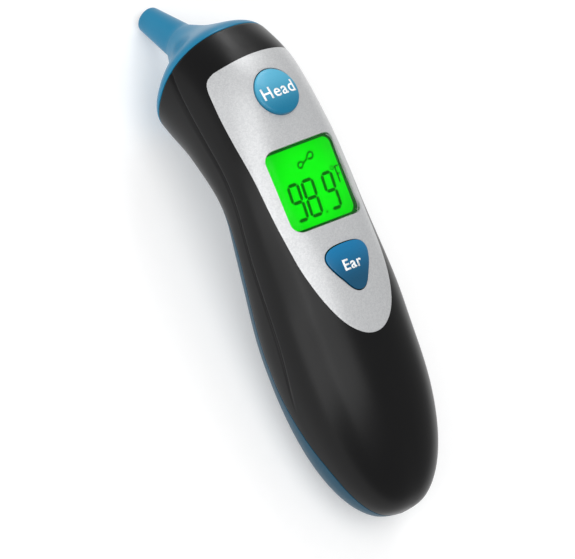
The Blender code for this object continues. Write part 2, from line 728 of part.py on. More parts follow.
def make_board(frame):
    """The main circuit board, with clearance holes for the casing posts."""
    outline = rounded_rectangle(
        (0.0, sum(BOARD_ENDS) / 2), (2 * BOARD_HALF_WIDTH, BOARD_ENDS[1] - BOARD_ENDS[0]), BOARD_CORNER
    )
    board = prism(outline, BOARD_TOP - BOARD_THICKNESS, BOARD_TOP, "board")
    for x, y in CASING_SCREWS:
        cut(board, cylinder(POST_RADIUS + 0.4, (x, y, -2), (x, y, 6), "post_hole", 16))
    for x, y in BOARD_SCREWS:
        cut(board, cylinder(BOARD_SCREW_RADIUS + GAP, (x, y, -2), (x, y, 6), "screw_hole", 12))
    place(board, "main_board", "board_green", frame)


def make_board_parts(frame):
    """The switches, the processor, the buzzer, the memory chip and the board's screws."""
    head_y = HEAD_BUTTON_CENTRE.y - 2.5
    for name, y in (("head_switch", head_y), ("ear_switch", EAR_BUTTON_CENTRE.y)):
        half = SWITCH_SIDE / 2
        low = BOARD_TOP + 0.3
        body = box((-half, y - half, low), (half, y + half, BOARD_TOP + SWITCH_HEIGHT), name)
        top = BOARD_TOP + SWITCH_HEIGHT + PLUNGER_HEIGHT
        join(body, cylinder(1.2, (0, y, BOARD_TOP + 1.0), (0, y, top), "plunger", 16))
        place(body, name, "steel", frame)
    under = BOARD_TOP - BOARD_THICKNESS - GAP
    chips = (("processor_chip", (0.0, 26.0), 10.0, 1.4), ("memory_chip", (0.0, 40.0), 5.0, 1.2))
    for name, (x, y), side, height in chips:
        half = side / 2
        chip = box((x - half, y - half, under - height), (x + half, y + half, under), name)
        place(chip, name, "chip_black", frame)
    buzzer = cylinder(6.0, (0.0, 12.0, under - 3.2), (0.0, 12.0, under), "buzzer", 32)
    place(buzzer, "buzzer", "chip_black", frame)
    for number, (x, y) in enumerate(BOARD_SCREWS, 1):
        bottom = BOARD_TOP - BOARD_THICKNESS - GAP
        profile = [(1.7, -1.2), (1.7, 0.0), (BOARD_SCREW_RADIUS, 0.0), (BOARD_SCREW_RADIUS, 4.0)]
        screw = turned(profile, (0, 0, 1), Vector((x, y, bottom)), "screw", 12)
        place(screw, f"board_screw_{number}", "steel", frame)


def make_casing_screws(frame):
    """The two screws under the battery door that hold the casings together."""
    for number, (x, y) in enumerate(CASING_SCREWS, 1):
        origin = Vector((x, y, SCREW_BAY_FLOOR - GAP))
        head_radius, head_height = SCREW_HEAD
        profile = [(head_radius, -head_height), (head_radius, 0.0), (SCREW_RADIUS, 0.0), (SCREW_RADIUS, 9.0)]
        screw = turned(profile, (0, 0, 1), origin, "screw", 16)
        place(screw, f"casing_screw_{number}", "steel", frame)


# ---------------------------------------------------------------- cells and contacts

def make_cells(frame):
    """Two cells side by side, end for end, with their contact plates and springs."""
    bay_low, bay_high = BAY_ENDS
    plate = 0.4
    nub_clear = 0.45
    for number, (x, facing) in enumerate(((-CELL_X, 1), (CELL_X, -1)), 1):
        head_end = bay_high - GAP - plate - nub_clear if facing > 0 else bay_low + GAP + plate + nub_clear
        base = Vector((x, head_end - facing * (CELL_LENGTH + CELL_NUB[1]), CELL_Z))
        nub_radius, nub_length = CELL_NUB
        profile = [
            (CELL_RADIUS - 0.3, 0.0), (CELL_RADIUS, 0.3), (CELL_RADIUS, CELL_LENGTH - 0.4),
            (CELL_RADIUS - 0.4, CELL_LENGTH), (nub_radius, CELL_LENGTH), (nub_radius, CELL_LENGTH + nub_length),
        ]
        place(turned(profile, (0, facing, 0), base, "cell"), f"cell_{number}", "cell_wrap", frame)
        wall = bay_low + GAP + plate if facing > 0 else bay_high - GAP - plate
        room = abs(base.y - wall) - 2 * GAP
        spring = coil(Vector((x, wall + facing * GAP, CELL_Z)), Vector((0, facing, 0)), room, "spring")
        place(spring, f"contact_spring_{number}", "steel", frame)
    half = 3.6
    for name, x, low in (("head_plate_left", -CELL_X, bay_high - GAP - plate),
                         ("head_plate_right", CELL_X, bay_high - GAP - plate)):
        contact = box((x - half, low, CELL_Z - half), (x + half, low + plate, CELL_Z + half), name)
        place(contact, name, "steel", frame)
    reach = CELL_X + half
    low = bay_low + GAP
    bridge = box((-reach, low, CELL_Z - 2.6), (reach, low + plate, CELL_Z + half), "bridge")
    place(bridge, "foot_bridge_plate", "steel", frame)


def coil(start, axis, length, name, turns=3.0, wire=0.35):
    """A conical contact spring, as a wire swept along a coil."""
    side = Vector((1, 0, 0))
    other = axis.cross(side)
    steps = int(turns * 14)
    rings = []
    for i in range(steps + 1):
        share = i / steps
        angle = 2 * math.pi * turns * share
        radius = 3.2 - 1.2 * share
        outward = side * math.cos(angle) + other * math.sin(angle)
        centre = start + outward * radius + axis * (wire + (length - 2 * wire) * share)
        rings.append([centre + (outward * math.cos(a) + axis * math.sin(a)) * wire
                      for a in (2 * math.pi * k / 6 for k in range(6))])
    return loft(rings, name)


def main():
    """Build every part in the body frame, laid on its back."""
    clear_scene()
    frame = bpy.data.objects.new("body_frame", None)
    bpy.context.scene.collection.objects.link(frame)
    frame.rotation_euler = (REST_TILT, 0.0, 0.0)
    frame.location = REST_ORIGIN * MM
    make_front_casing(frame)
    make_rear_casing(frame)
    make_battery_door(frame)
    make_probe_nozzle(frame)
    make_sensor_parts(frame)
    make_fascia(frame)
    make_display(frame)
    make_head_button(frame)
    make_ear_button(frame)
    make_board(frame)
    make_board_parts(frame)
    make_casing_screws(frame)
    make_cells(frame)


main()
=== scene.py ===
"""Digital ear thermometer for a product shot: shell, inlaid fascia, lit display, two push buttons and a bent probe.

Lengths are in millimetres in the body frame (X to the right, Y along the handle towards the probe, Z out of the
front face) until a piece is finished, when it is laid down on its back in metres.
"""

import logging
import math
from collections.abc import Sequence
from dataclasses import dataclass
from enum import Enum

import bmesh
import bpy
import numpy as np
from mathutils import Matrix, Vector


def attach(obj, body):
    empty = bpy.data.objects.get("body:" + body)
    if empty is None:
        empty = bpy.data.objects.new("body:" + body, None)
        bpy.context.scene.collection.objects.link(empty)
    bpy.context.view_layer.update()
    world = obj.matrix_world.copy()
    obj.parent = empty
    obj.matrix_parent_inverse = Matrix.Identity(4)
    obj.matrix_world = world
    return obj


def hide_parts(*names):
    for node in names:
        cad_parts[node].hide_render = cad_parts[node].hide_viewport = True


logging.basicConfig(level=logging.INFO, format="%(name)s: %(message)s")
LOG = logging.getLogger("thermometer")

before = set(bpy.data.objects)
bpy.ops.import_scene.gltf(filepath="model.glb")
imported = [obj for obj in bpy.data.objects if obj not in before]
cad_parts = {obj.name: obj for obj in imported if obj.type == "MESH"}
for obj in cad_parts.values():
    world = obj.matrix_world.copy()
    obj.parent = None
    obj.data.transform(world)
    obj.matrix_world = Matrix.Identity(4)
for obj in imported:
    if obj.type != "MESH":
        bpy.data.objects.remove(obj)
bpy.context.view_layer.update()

MM = 0.001
REST_TILT = math.radians(6.3)
REST_ORIGIN = Vector((0.0, -6.887, 26.493))
LAY_DOWN = Matrix.Scale(MM, 4) @ Matrix.Translation(REST_ORIGIN) @ Matrix.Rotation(REST_TILT, 4, "X")
KEY_HEIGHT = 10.0
GLASS_TOP = 7.1
PRINT_HEIGHT = 0.05


Path = tuple[tuple[float, float], ...]


class Body(Enum):
    """The rigid bodies that pieces ride on."""

    CASING = "casing"
    HEAD_BUTTON = "head_button"
    EAR_BUTTON = "ear_button"
    DOOR = "battery_door"


class Side(Enum):
    """Which face of the shell a height is asked for."""

    FRONT = 1
    BACK = -1


# ---------------------------------------------------------------- finishes


def linear(colour: str) -> tuple[float, float, float, float]:
    """Turns an sRGB hex colour into linear light.

    Args:
        colour: Six hex digits after a hash sign.

    Returns:
        Linear red, green and blue, with an alpha of 1.
    """
    parts = []
    for start in (1, 3, 5):
        value = int(colour[start:start + 2], 16) / 255
        parts.append(value / 12.92 if value <= 0.04045 else ((value + 0.055) / 1.055) ** 2.4)
    return parts[0], parts[1], parts[2], 1.0


def add_node(tree: bpy.types.NodeTree, kind: str, settings: dict, links: dict | None = None) -> bpy.types.Node:
    """Adds a node with its settings and links.

    Args:
        tree: The material's node tree.
        kind: The node's type name.
        settings: Values for the node's properties, or for its inputs by name or number.
        links: Output sockets for the node's inputs, by input name or number.

    Returns:
        The new node.
    """
    node = tree.nodes.new(kind)
    for name, value in settings.items():
        if isinstance(name, str) and hasattr(node, name):
            setattr(node, name, value)
        else:
            node.inputs[name].default_value = value
    for name, socket in (links or {}).items():
        tree.links.new(socket, node.inputs[name])
    return node


def start_material(name: str, constants: dict) -> tuple[bpy.types.Material, bpy.types.NodeTree, bpy.types.Node]:
    """Starts a material with its shader and its constant values.

    Args:
        name: The finish's common name.
        constants: Values of the shader's own sockets.

    Returns:
        The material, its node tree and its shader node.
    """
    material = bpy.data.materials.new(name)
    material.use_nodes = True
    tree = material.node_tree
    shader = tree.nodes["Principled BSDF"]
    for socket, value in constants.items():
        shader.inputs[socket].default_value = value
    return material, tree, shader


def millimetre_noise(tree: bpy.types.NodeTree, size: float, detail: float = 2.0) -> bpy.types.Node:
    """Adds noise in object space whose blobs have a real size.

    Args:
        tree: The material's node tree.
        size: How wide one blob is, in millimetres.
        detail: How many finer octaves it carries.

    Returns:
        The noise node.
    """
    place = add_node(tree, "ShaderNodeTexCoord", {})
    return add_node(tree, "ShaderNodeTexNoise", {"Scale": 1 / (size * MM), "Detail": detail},
                    {"Vector": place.outputs["Object"]})


def join_surface(
    tree: bpy.types.NodeTree, shader: bpy.types.Node, colours: tuple[str, str], share: bpy.types.NodeSocket,
    gloss: bpy.types.NodeSocket, roughness: tuple[float, float], relief: bpy.types.NodeSocket, depth: float,
) -> None:
    """Joins a surface's colour, gloss and relief to its shader.

    Args:
        tree: The material's node tree.
        shader: Its shader node.
        colours: The colours where the share is 0 and where it is 1.
        share: Where the surface lies between the two colours.
        gloss: What varies the roughness.
        roughness: The roughness where the gloss value is 0 and where it is 1.
        relief: What gives the bumps.
        depth: How deep the bumps are, in millimetres.
    """
    tint = add_node(tree, "ShaderNodeMix", {"data_type": "RGBA", 6: linear(colours[0]), 7: linear(colours[1])},
                    {0: share})
    spread = add_node(tree, "ShaderNodeMapRange", {"To Min": roughness[0], "To Max": roughness[1]}, {"Value": gloss})
    bump = add_node(tree, "ShaderNodeBump", {"Strength": 1.0, "Distance": depth * MM}, {"Height": relief})
    tree.links.new(tint.outputs[2], shader.inputs["Base Color"])
    tree.links.new(spread.outputs["Result"], shader.inputs["Roughness"])
    tree.links.new(bump.outputs["Normal"], shader.inputs["Normal"])


@dataclass(frozen=True)
class MouldedPlastic:
    """Injection-moulded ABS: its tool's spark-eroded grain softens the gloss, and the melt leaves a faint mottle."""

    name: str
    colour: str
    mottled: str
    roughness: float = 0.36
    grain: float = 0.30
    grain_depth: float = 0.004
    mottle: float = 9.0
    coat: float = 0.0
    specular: float = 0.5

    def build(self) -> bpy.types.Material:
        """Returns the material."""
        material, tree, shader = start_material(
            self.name, {"IOR": 1.54, "Coat Weight": self.coat, "Coat Roughness": 0.12,
                        "Specular IOR Level": self.specular})
        cloud = millimetre_noise(tree, self.mottle).outputs["Fac"]
        grain = millimetre_noise(tree, self.grain, 3.0).outputs["Fac"]
        join_surface(tree, shader, (self.colour, self.mottled), cloud, grain,
                     (self.roughness - 0.05, self.roughness + 0.07), grain, self.grain_depth)
        return material


@dataclass(frozen=True)
class SilverLacquer:
    """Silver lacquer on ABS: fine aluminium flakes, drawn 0.35 mm wide so that they show, sparkle in a pale base."""

    name: str = "silver_flake_lacquer"
    pale: str = "#c4c5c6"
    dark: str = "#a6a8ab"
    flake: float = 0.3
    metallic: float = 0.25
    roughness: float = 0.38
    relief: float = 0.002

    def build(self) -> bpy.types.Material:
        """Returns the material."""
        material, tree, shader = start_material(
            self.name, {"Metallic": self.metallic, "Coat Weight": 0.3, "Coat Roughness": 0.2})
        place = add_node(tree, "ShaderNodeTexCoord", {})
        flakes = add_node(tree, "ShaderNodeTexVoronoi", {"Scale": 1 / (self.flake * MM)},
                          {"Vector": place.outputs["Object"]})
        spark = add_node(tree, "ShaderNodeSeparateColor", {}, {"Color": flakes.outputs["Color"]})
        shade = add_node(tree, "ShaderNodeMapRange", {"From Min": 0.0, "From Max": 1.0, "To Min": 0.0, "To Max": 0.5},
                         {"Value": spark.outputs["Red"]})
        join_surface(tree, shader, (self.pale, self.dark), shade.outputs["Result"], spark.outputs["Green"],
                     (self.roughness - 0.08, self.roughness + 0.12), spark.outputs["Blue"], self.relief)
        return material


@dataclass(frozen=True)
class KeycapWithPaintedShade:
    """Tinted gloss keycap with painted light: the colour runs from a deep end at the foot to a light end towards the
    probe, a painted shade and painted highlight for how the light falls on it.
    """

    name: str
    deep: str
    light: str
    foot_y: float
    head_y: float
    roughness: float = 0.28
    grain: float = 0.4
    grain_depth: float = 0.002

    def build(self) -> bpy.types.Material:
        """Returns the material."""
        material, tree, shader = start_material(
            self.name, {"IOR": 1.5, "Specular IOR Level": 0.3, "Coat Weight": 0.15, "Coat Roughness": 0.08})
        place = add_node(tree, "ShaderNodeTexCoord", {})
        axes = add_node(tree, "ShaderNodeSeparateXYZ", {}, {"Vector": place.outputs["Object"]})
        # Painted shade at the foot end, painted highlight towards the probe
        low, high = ((LAY_DOWN @ Vector((0.0, y, KEY_HEIGHT))).y for y in (self.foot_y, self.head_y))
        share = add_node(tree, "ShaderNodeMapRange",
                         {"interpolation_type": "SMOOTHSTEP", "From Min": low, "From Max": high},
                         {"Value": axes.outputs["Y"]})
        grain = millimetre_noise(tree, self.grain).outputs["Fac"]
        join_surface(tree, shader, (self.deep, self.light), share.outputs["Result"], grain,
                     (self.roughness - 0.04, self.roughness + 0.06), grain, self.grain_depth)
        return material


@dataclass(frozen=True)
class ClearAcrylic:
    """Clear acrylic with an anti-glare coat: it hardly mirrors the room, hence the low IOR, and has fine rub marks."""

    name: str = "clear_acrylic"

    def build(self) -> bpy.types.Material:
        """Returns the material."""
        material, tree, shader = start_material(
            self.name, {"IOR": 1.12, "Transmission Weight": 1.0, "Base Color": linear("#ffffff")})
        marks = millimetre_noise(tree, 1.2)
        gloss = add_node(tree, "ShaderNodeMapRange", {"To Min": 0.01, "To Max": 0.06}, {"Value": marks.outputs["Fac"]})
        tree.links.new(gloss.outputs["Result"], shader.inputs["Roughness"])
        return material


@dataclass(frozen=True)
class MiddleBrightGlow:
    """A glow brightest in the middle, falling off to the edges: on the display glass and its segments it is a liquid
    crystal cell lit from behind through its light guide; on the light seal it is painted light, the backlight's glow
    painted onto a part that is no lamp.
    """

    name: str
    centre: str
    edge: str
    strength: float
    middle: tuple[float, float, float] = (0.0, 20.6, GLASS_TOP)
    reach: float = 17.0

    def build(self) -> bpy.types.Material:
        """Returns the material."""
        material, tree, shader = start_material(
            self.name, {"Roughness": 0.4, "Emission Strength": self.strength, "Specular IOR Level": 0.05,
                        "Base Color": linear("#021004")})
        place = add_node(tree, "ShaderNodeTexCoord", {})
        spot = LAY_DOWN @ Vector(self.middle)
        size = 1 / (self.reach * MM)
        centred = add_node(tree, "ShaderNodeMapping", {"Location": tuple(-value * size for value in spot),
                                                       "Scale": (size, size, size)},
                           {"Vector": place.outputs["Object"]})
        ball = add_node(tree, "ShaderNodeTexGradient", {"gradient_type": "SPHERICAL"},
                        {"Vector": centred.outputs["Vector"]})
        blotch = millimetre_noise(tree, 6.0)
        share = add_node(tree, "ShaderNodeMath", {"operation": "MULTIPLY_ADD", 1: 0.25},
                         {0: blotch.outputs["Fac"], 2: ball.outputs["Fac"]})
        steps = add_node(tree, "ShaderNodeMapRange",
                         {"interpolation_type": "SMOOTHSTEP", "From Min": 0.1, "From Max": 0.8},
                         {"Value": share.outputs["Value"]})
        glow = add_node(tree, "ShaderNodeMix", {"data_type": "RGBA", 6: linear(self.edge), 7: linear(self.centre)},
                        {0: steps.outputs["Result"]})
        tree.links.new(glow.outputs[2], shader.inputs["Emission Color"])
        return material


@dataclass(frozen=True)
class PlatedMetal:
    """Plated or drawn metal: the strip's fine drawing lines stretch along one axis and streak its gloss."""

    name: str
    colour: str
    roughness: float = 0.28
    streak: tuple[float, float, float] = (1.0, 0.08, 1.0)

    def build(self) -> bpy.types.Material:
        """Returns the material."""
        material, tree, shader = start_material(self.name, {"Metallic": 1.0, "Base Color": linear(self.colour)})
        place = add_node(tree, "ShaderNodeTexCoord", {})
        drawn = add_node(tree, "ShaderNodeMapping", {"Scale": self.streak}, {"Vector": place.outputs["Object"]})
        lines = add_node(tree, "ShaderNodeTexNoise", {"Scale": 1 / (0.25 * MM), "Detail": 2.0},
                         {"Vector": drawn.outputs["Vector"]})
        gloss = add_node(tree, "ShaderNodeMapRange",
                         {"To Min": self.roughness - 0.08, "To Max": self.roughness + 0.12},
                         {"Value": lines.outputs["Fac"]})
        tree.links.new(gloss.outputs["Result"], shader.inputs["Roughness"])
        return material


@dataclass(frozen=True)
class PaintedFloor:
    """White board lit from within, as a shadowless table is: even, with a very faint roller texture."""

    name: str = "matt_white_board"
    colour: str = "#dddddd"

    def build(self) -> bpy.types.Material:
        """Returns the material."""
        material, tree, shader = start_material(self.name, {
            "Roughness": 0.9, "Specular IOR Level": 0.2, "Emission Color": linear("#ffffff"),
            "Emission Strength": 0.3})
        roller = millimetre_noise(tree, 3.0)
        tint = add_node(tree, "ShaderNodeMix", {"data_type": "RGBA", 6: linear(self.colour), 7: linear("#e2e2e2")},
                        {0: roller.outputs["Fac"]})
        tree.links.new(tint.outputs[2], shader.inputs["Base Color"])
        return material


class Finishes:
    """Every finish of the thermometer, each built once."""

    def __init__(self) -> None:
        """Builds the materials."""
        self.black = MouldedPlastic("satin_black_abs", "#060607", "#09090a", 0.3, specular=0.2).build()
        self.blue = MouldedPlastic("teal_blue_abs", "#127196", "#177ba1", 0.31, specular=0.25).build()
        # Darker copy of the teal blue for the rear shell, tub and door: painted shade, as that side lies in shade
        self.blue_painted_shade = MouldedPlastic("teal_abs_painted_shade", "#0a3d52", "#0d475e", 0.36, specular=0.2).build()
        self.silver = SilverLacquer().build()
        # Both keycaps carry a painted gradient of shade and highlight along the handle
        self.head_key = KeycapWithPaintedShade("sky_blue_keycap", "#0b6f92", "#56aece", 41.0, 54.0).build()
        self.ear_key = KeycapWithPaintedShade("teal_blue_keycap", "#064a6a", "#0672a4", -9.0, 3.5).build()
        self.legend = MouldedPlastic("white_pad_print", "#f4f6f7", "#ffffff", 0.45, 0.2, 0.001).build()
        self.clear = ClearAcrylic().build()
        self.glow = MiddleBrightGlow("green_backlit_glass", "#08f60a", "#06d808", 1.0).build()
        self.segment = MiddleBrightGlow("dark_green_segment", "#067a06", "#046604", 0.75).build()
        # The light seal glows: painted light, the backlight's glow painted onto the seal
        self.seal = MiddleBrightGlow("green_seal_painted_glow", "#14761c", "#0c5a14", 0.7).build()
        self.white = MouldedPlastic("white_abs", "#e9e9e6", "#f2f2ef", 0.45).build()
        self.chip = MouldedPlastic("black_epoxy", "#131313", "#1b1b1c", 0.5, 0.2, 0.006).build()
        self.board = MouldedPlastic("green_solder_resist", "#0f5a33", "#136b3d", 0.3, 0.6, 0.004).build()
        self.flex = PlatedMetal("polyimide_copper", "#c9803a", 0.4).build()
        self.steel = PlatedMetal("nickel_plated_steel", "#c3c5c8").build()
        self.gold = PlatedMetal("gold_plate", "#e6b75a", 0.18).build()
        self.cell = MouldedPlastic("printed_cell_sleeve", "#2b4f9e", "#325aae", 0.3, 0.5, 0.002, 14.0).build()

    def dress_nodes(self) -> None:
        """Gives every carried-over node the finish of its slot."""
        by_slot = {
            "shell_black": self.black, "shell_blue": self.blue, "fascia_silver": self.silver,
            "button_blue": self.ear_key, "clear_lens": self.clear, "display_green": self.glow,
            "white_plastic": self.white, "chip_black": self.chip, "board_green": self.board,
            "copper_flex": self.flex, "steel": self.steel, "gold": self.gold, "cell_wrap": self.cell,
        }
        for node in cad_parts.values():
            for slot in node.material_slots:
                key = slot.material.name.split(".")[0] if slot.material else ""
                slot.material = by_slot.get(key, self.white)


# ---------------------------------------------------------------- making pieces


def finish_piece(
    bm: bmesh.types.BMesh, name: str, finish: bpy.types.Material, body: Body,
    replaces: tuple[str, ...] = (), transform: Matrix = LAY_DOWN,
) -> bpy.types.Object:
    """Turns a bmesh into a finished piece with its place in its mesh.

    Args:
        bm: The piece's mesh, which is freed.
        name: The piece's name.
        finish: Its material.
        body: The body that it rides on.
        replaces: The nodes that it stands for.
        transform: What takes the mesh to its place in metres.

    Returns:
        The piece.
    """
    bm.transform(transform)
    mesh = bpy.data.meshes.new(name)
    bm.to_mesh(mesh)
    bm.free()
    for face in mesh.polygons:
        face.use_smooth = True
    mesh.materials.append(finish)
    piece = bpy.data.objects.new(name, mesh)
    bpy.context.scene.collection.objects.link(piece)
    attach(piece, body.value)
    if replaces:
        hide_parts(*replaces)
    LOG.info("%s: %d faces on %s", name, len(mesh.polygons), body.value)
    return piece


def add_wall(piece: bpy.types.Object, thickness: float) -> None:
    """Gives a sheet its wall thickness, inwards, in millimetres."""
    wall = piece.modifiers.new("wall", "SOLIDIFY")
    wall.thickness = thickness * MM
    wall.offset = -1.0
    wall.use_even_offset = True


def soften(piece: bpy.types.Object, width: float, segments: int = 2, angle: float = 50.0) -> None:
    """Rounds a piece's sharp edges by a width in millimetres."""
    bevel = piece.modifiers.new("edge_rounding", "BEVEL")
    bevel.width = width * MM
    bevel.segments = segments
    bevel.limit_method = "ANGLE"
    bevel.angle_limit = math.radians(angle)
    bevel.harden_normals = False


def thicken(bm: bmesh.types.BMesh, rise: float) -> list[bmesh.types.BMVert]:
    """Extrudes a sheet straight up into a closed solid.

    Args:
        bm: The sheet.
        rise: How far it rises, or sinks if it is negative.

    Returns:
        The corners that moved.
    """
    grown = bmesh.ops.extrude_face_region(bm, geom=bm.faces[:])
    moved = [item for item in grown["geom"] if isinstance(item, bmesh.types.BMVert)]
    bmesh.ops.translate(bm, verts=moved, vec=(0, 0, rise))
    bmesh.ops.recalc_face_normals(bm, faces=bm.faces)
    return moved


def apply_modifiers(piece: bpy.types.Object) -> None:
    """Makes a piece's modifiers part of its mesh."""
    evaluated = piece.evaluated_get(bpy.context.evaluated_depsgraph_get())
    mesh = bpy.data.meshes.new_from_object(evaluated)
    piece.modifiers.clear()
    piece.data = mesh


def natural_spline(knots: np.ndarray, rows: np.ndarray, places: np.ndarray) -> np.ndarray:
    """Reads a smooth curve that passes through each row at its knot.

    Args:
        knots: Where each row lies along the curve.
        rows: The values at the knots.
        places: Where the curve is read.

    Returns:
        One row of values for each place.
    """
    count = len(knots)
    steps = np.diff(knots)
    system = np.eye(count)
    target = np.zeros(rows.shape)
    for i in range(1, count - 1):
        system[i, i - 1:i + 2] = (steps[i - 1], 2 * (steps[i - 1] + steps[i]), steps[i])
        target[i] = 6 * ((rows[i + 1] - rows[i]) / steps[i] - (rows[i] - rows[i - 1]) / steps[i - 1])
    bends = np.linalg.solve(system, target)
    span = np.clip(np.searchsorted(knots, places) - 1, 0, count - 2)
    width = steps[span][:, None]
    low = (knots[span + 1] - places)[:, None] / width
    high = 1 - low
    straight = low * rows[span] + high * rows[span + 1]
    return straight + ((low**3 - low) * bends[span] + (high**3 - high) * bends[span + 1]) * width**2 / 6


def smooth_outline(points: Sequence[tuple[float, float]], count: int) -> list[tuple[float, float]]:
    """Draws a smooth open curve through points.

    Args:
        points: The points, as X and Y.
        count: How many points the curve gets.

    Returns:
        The curve's points.
    """
    rows = np.array(points)
    knots = np.concatenate(([0.0], np.cumsum(np.linalg.norm(np.diff(rows, axis=0), axis=1))))
    curve = natural_spline(knots, rows, np.linspace(0.0, knots[-1], count))
    return [(float(x), float(y)) for x, y in curve]


def rounded_rectangle(
    centre: tuple[float, float], size: tuple[float, float], corner: float, steps: int = 8,
) -> list[tuple[float, float]]:
    """Draws a rectangle with round corners.

    Args:
        centre: Its middle.
        size: Its width and height.
        corner: Its corner radius.
        steps: How many segments each corner has.

    Returns:
        The outline's points, anticlockwise.
    """
    points = []
    for quarter, (side_x, side_y) in enumerate(((1, 1), (-1, 1), (-1, -1), (1, -1))):
        hub_x = centre[0] + side_x * (size[0] / 2 - corner)
        hub_y = centre[1] + side_y * (size[1] / 2 - corner)
        for i in range(steps + 1):
            angle = math.pi / 2 * (quarter + i / steps)
            points.append((hub_x + corner * math.cos(angle), hub_y + corner * math.sin(angle)))
    return points


def flat_sheet(
    outline: list[tuple[float, float]], holes: list[list[tuple[float, float]]], pitch: float,
    facing: Side = Side.FRONT,
) -> bmesh.types.BMesh:
    """Fills an outline round its holes, and slices the sheet finely enough to be bent.

    Args:
        outline: The sheet's edge.
        holes: The edges of its holes.
        pitch: How far apart the slices are.
        facing: Which way the sheet faces.

    Returns:
        The flat sheet at a height of zero.
    """
    bm = bmesh.new()
    edges = []
    for loop in (outline, *holes):
        corners = [bm.verts.new((x, y, 0.0)) for x, y in loop]
        edges.extend(bm.edges.new((a, b)) for a, b in zip(corners, corners[1:] + corners[:1]))
    bmesh.ops.triangle_fill(bm, use_beauty=True, use_dissolve=False, edges=edges, normal=(0, 0, facing.value))
    low = [min(point[axis] for point in outline) for axis in (0, 1)]
    high = [max(point[axis] for point in outline) for axis in (0, 1)]
    for axis, normal in ((0, (1, 0, 0)), (1, (0, 1, 0))):
        cuts = int((high[axis] - low[axis]) / pitch)
        for i in range(1, cuts):
            at = low[axis] + (high[axis] - low[axis]) * i / cuts
            everything = bm.verts[:] + bm.edges[:] + bm.faces[:]
            bmesh.ops.bisect_plane(bm, geom=everything, dist=1e-4, plane_co=(at, at, 0.0), plane_no=normal)
    for face in bm.faces:
        face.normal_update()
        if face.normal.z * facing.value < 0:
            face.normal_flip()
    return bm


def lofted(rings: list[tuple[Vector, Vector, Vector, float]], segments: int, closed: bool) -> bmesh.types.BMesh:
    """Bridges a row of super-elliptic rings.

    Args:
        rings: Each ring's middle, its half width vector, its half height vector and its roundness.
        segments: How many points each ring has.
        closed: Whether the last ring is joined to the first.

    Returns:
        The lofted surface, with its normals facing out.
    """
    bm = bmesh.new()
    loops = []
    for middle, across, up, roundness in rings:
        made = bmesh.ops.create_circle(bm, cap_ends=False, segments=segments, radius=1.0)
        for vert in made["verts"]:
            x = math.copysign(abs(vert.co.x) ** (2 / roundness), vert.co.x)
            y = math.copysign(abs(vert.co.y) ** (2 / roundness), vert.co.y)
            vert.co = middle + across * x + up * y
        loops.append({edge for vert in made["verts"] for edge in vert.link_edges})
    for low, high in zip(loops, loops[1:] + (loops[:1] if closed else [])):
        bmesh.ops.bridge_loops(bm, edges=list(low | high))
    bmesh.ops.recalc_face_normals(bm, faces=bm.faces)
    return bm


# ---------------------------------------------------------------- the shell's surface


@dataclass(frozen=True)
class Station:
    """One section of the shell: its front and back points (Y, Z), its half width and how square it is."""

    front: tuple[float, float]
    back: tuple[float, float]
    half_width: float
    roundness: float


STATIONS = (
    Station((-22.7, 11.9), (-22.7, -23.3), 21.0, 2.4),
    Station((-13.5, 12.3), (-13.5, -22.5), 21.0, 2.4),
    Station((-3.2, 12.2), (-3.2, -20.7), 20.4, 2.4),
    Station((12.2, 10.9), (12.2, -17.1), 19.5, 2.5),
    Station((22.5, 10.3), (21.5, -15.3), 19.1, 2.6),
    Station((30.5, 10.0), (27.5, -16.6), 19.0, 2.6),
    Station((40.0, 9.6), (33.5, -19.9), 18.9, 2.5),
    Station((49.0, 8.6), (38.8, -23.2), 18.9, 2.4),
    Station((59.5, 5.0), (43.2, -26.1), 19.1, 2.4),
    Station((68.2, -1.2), (46.2, -27.6), 19.4, 2.3),
)


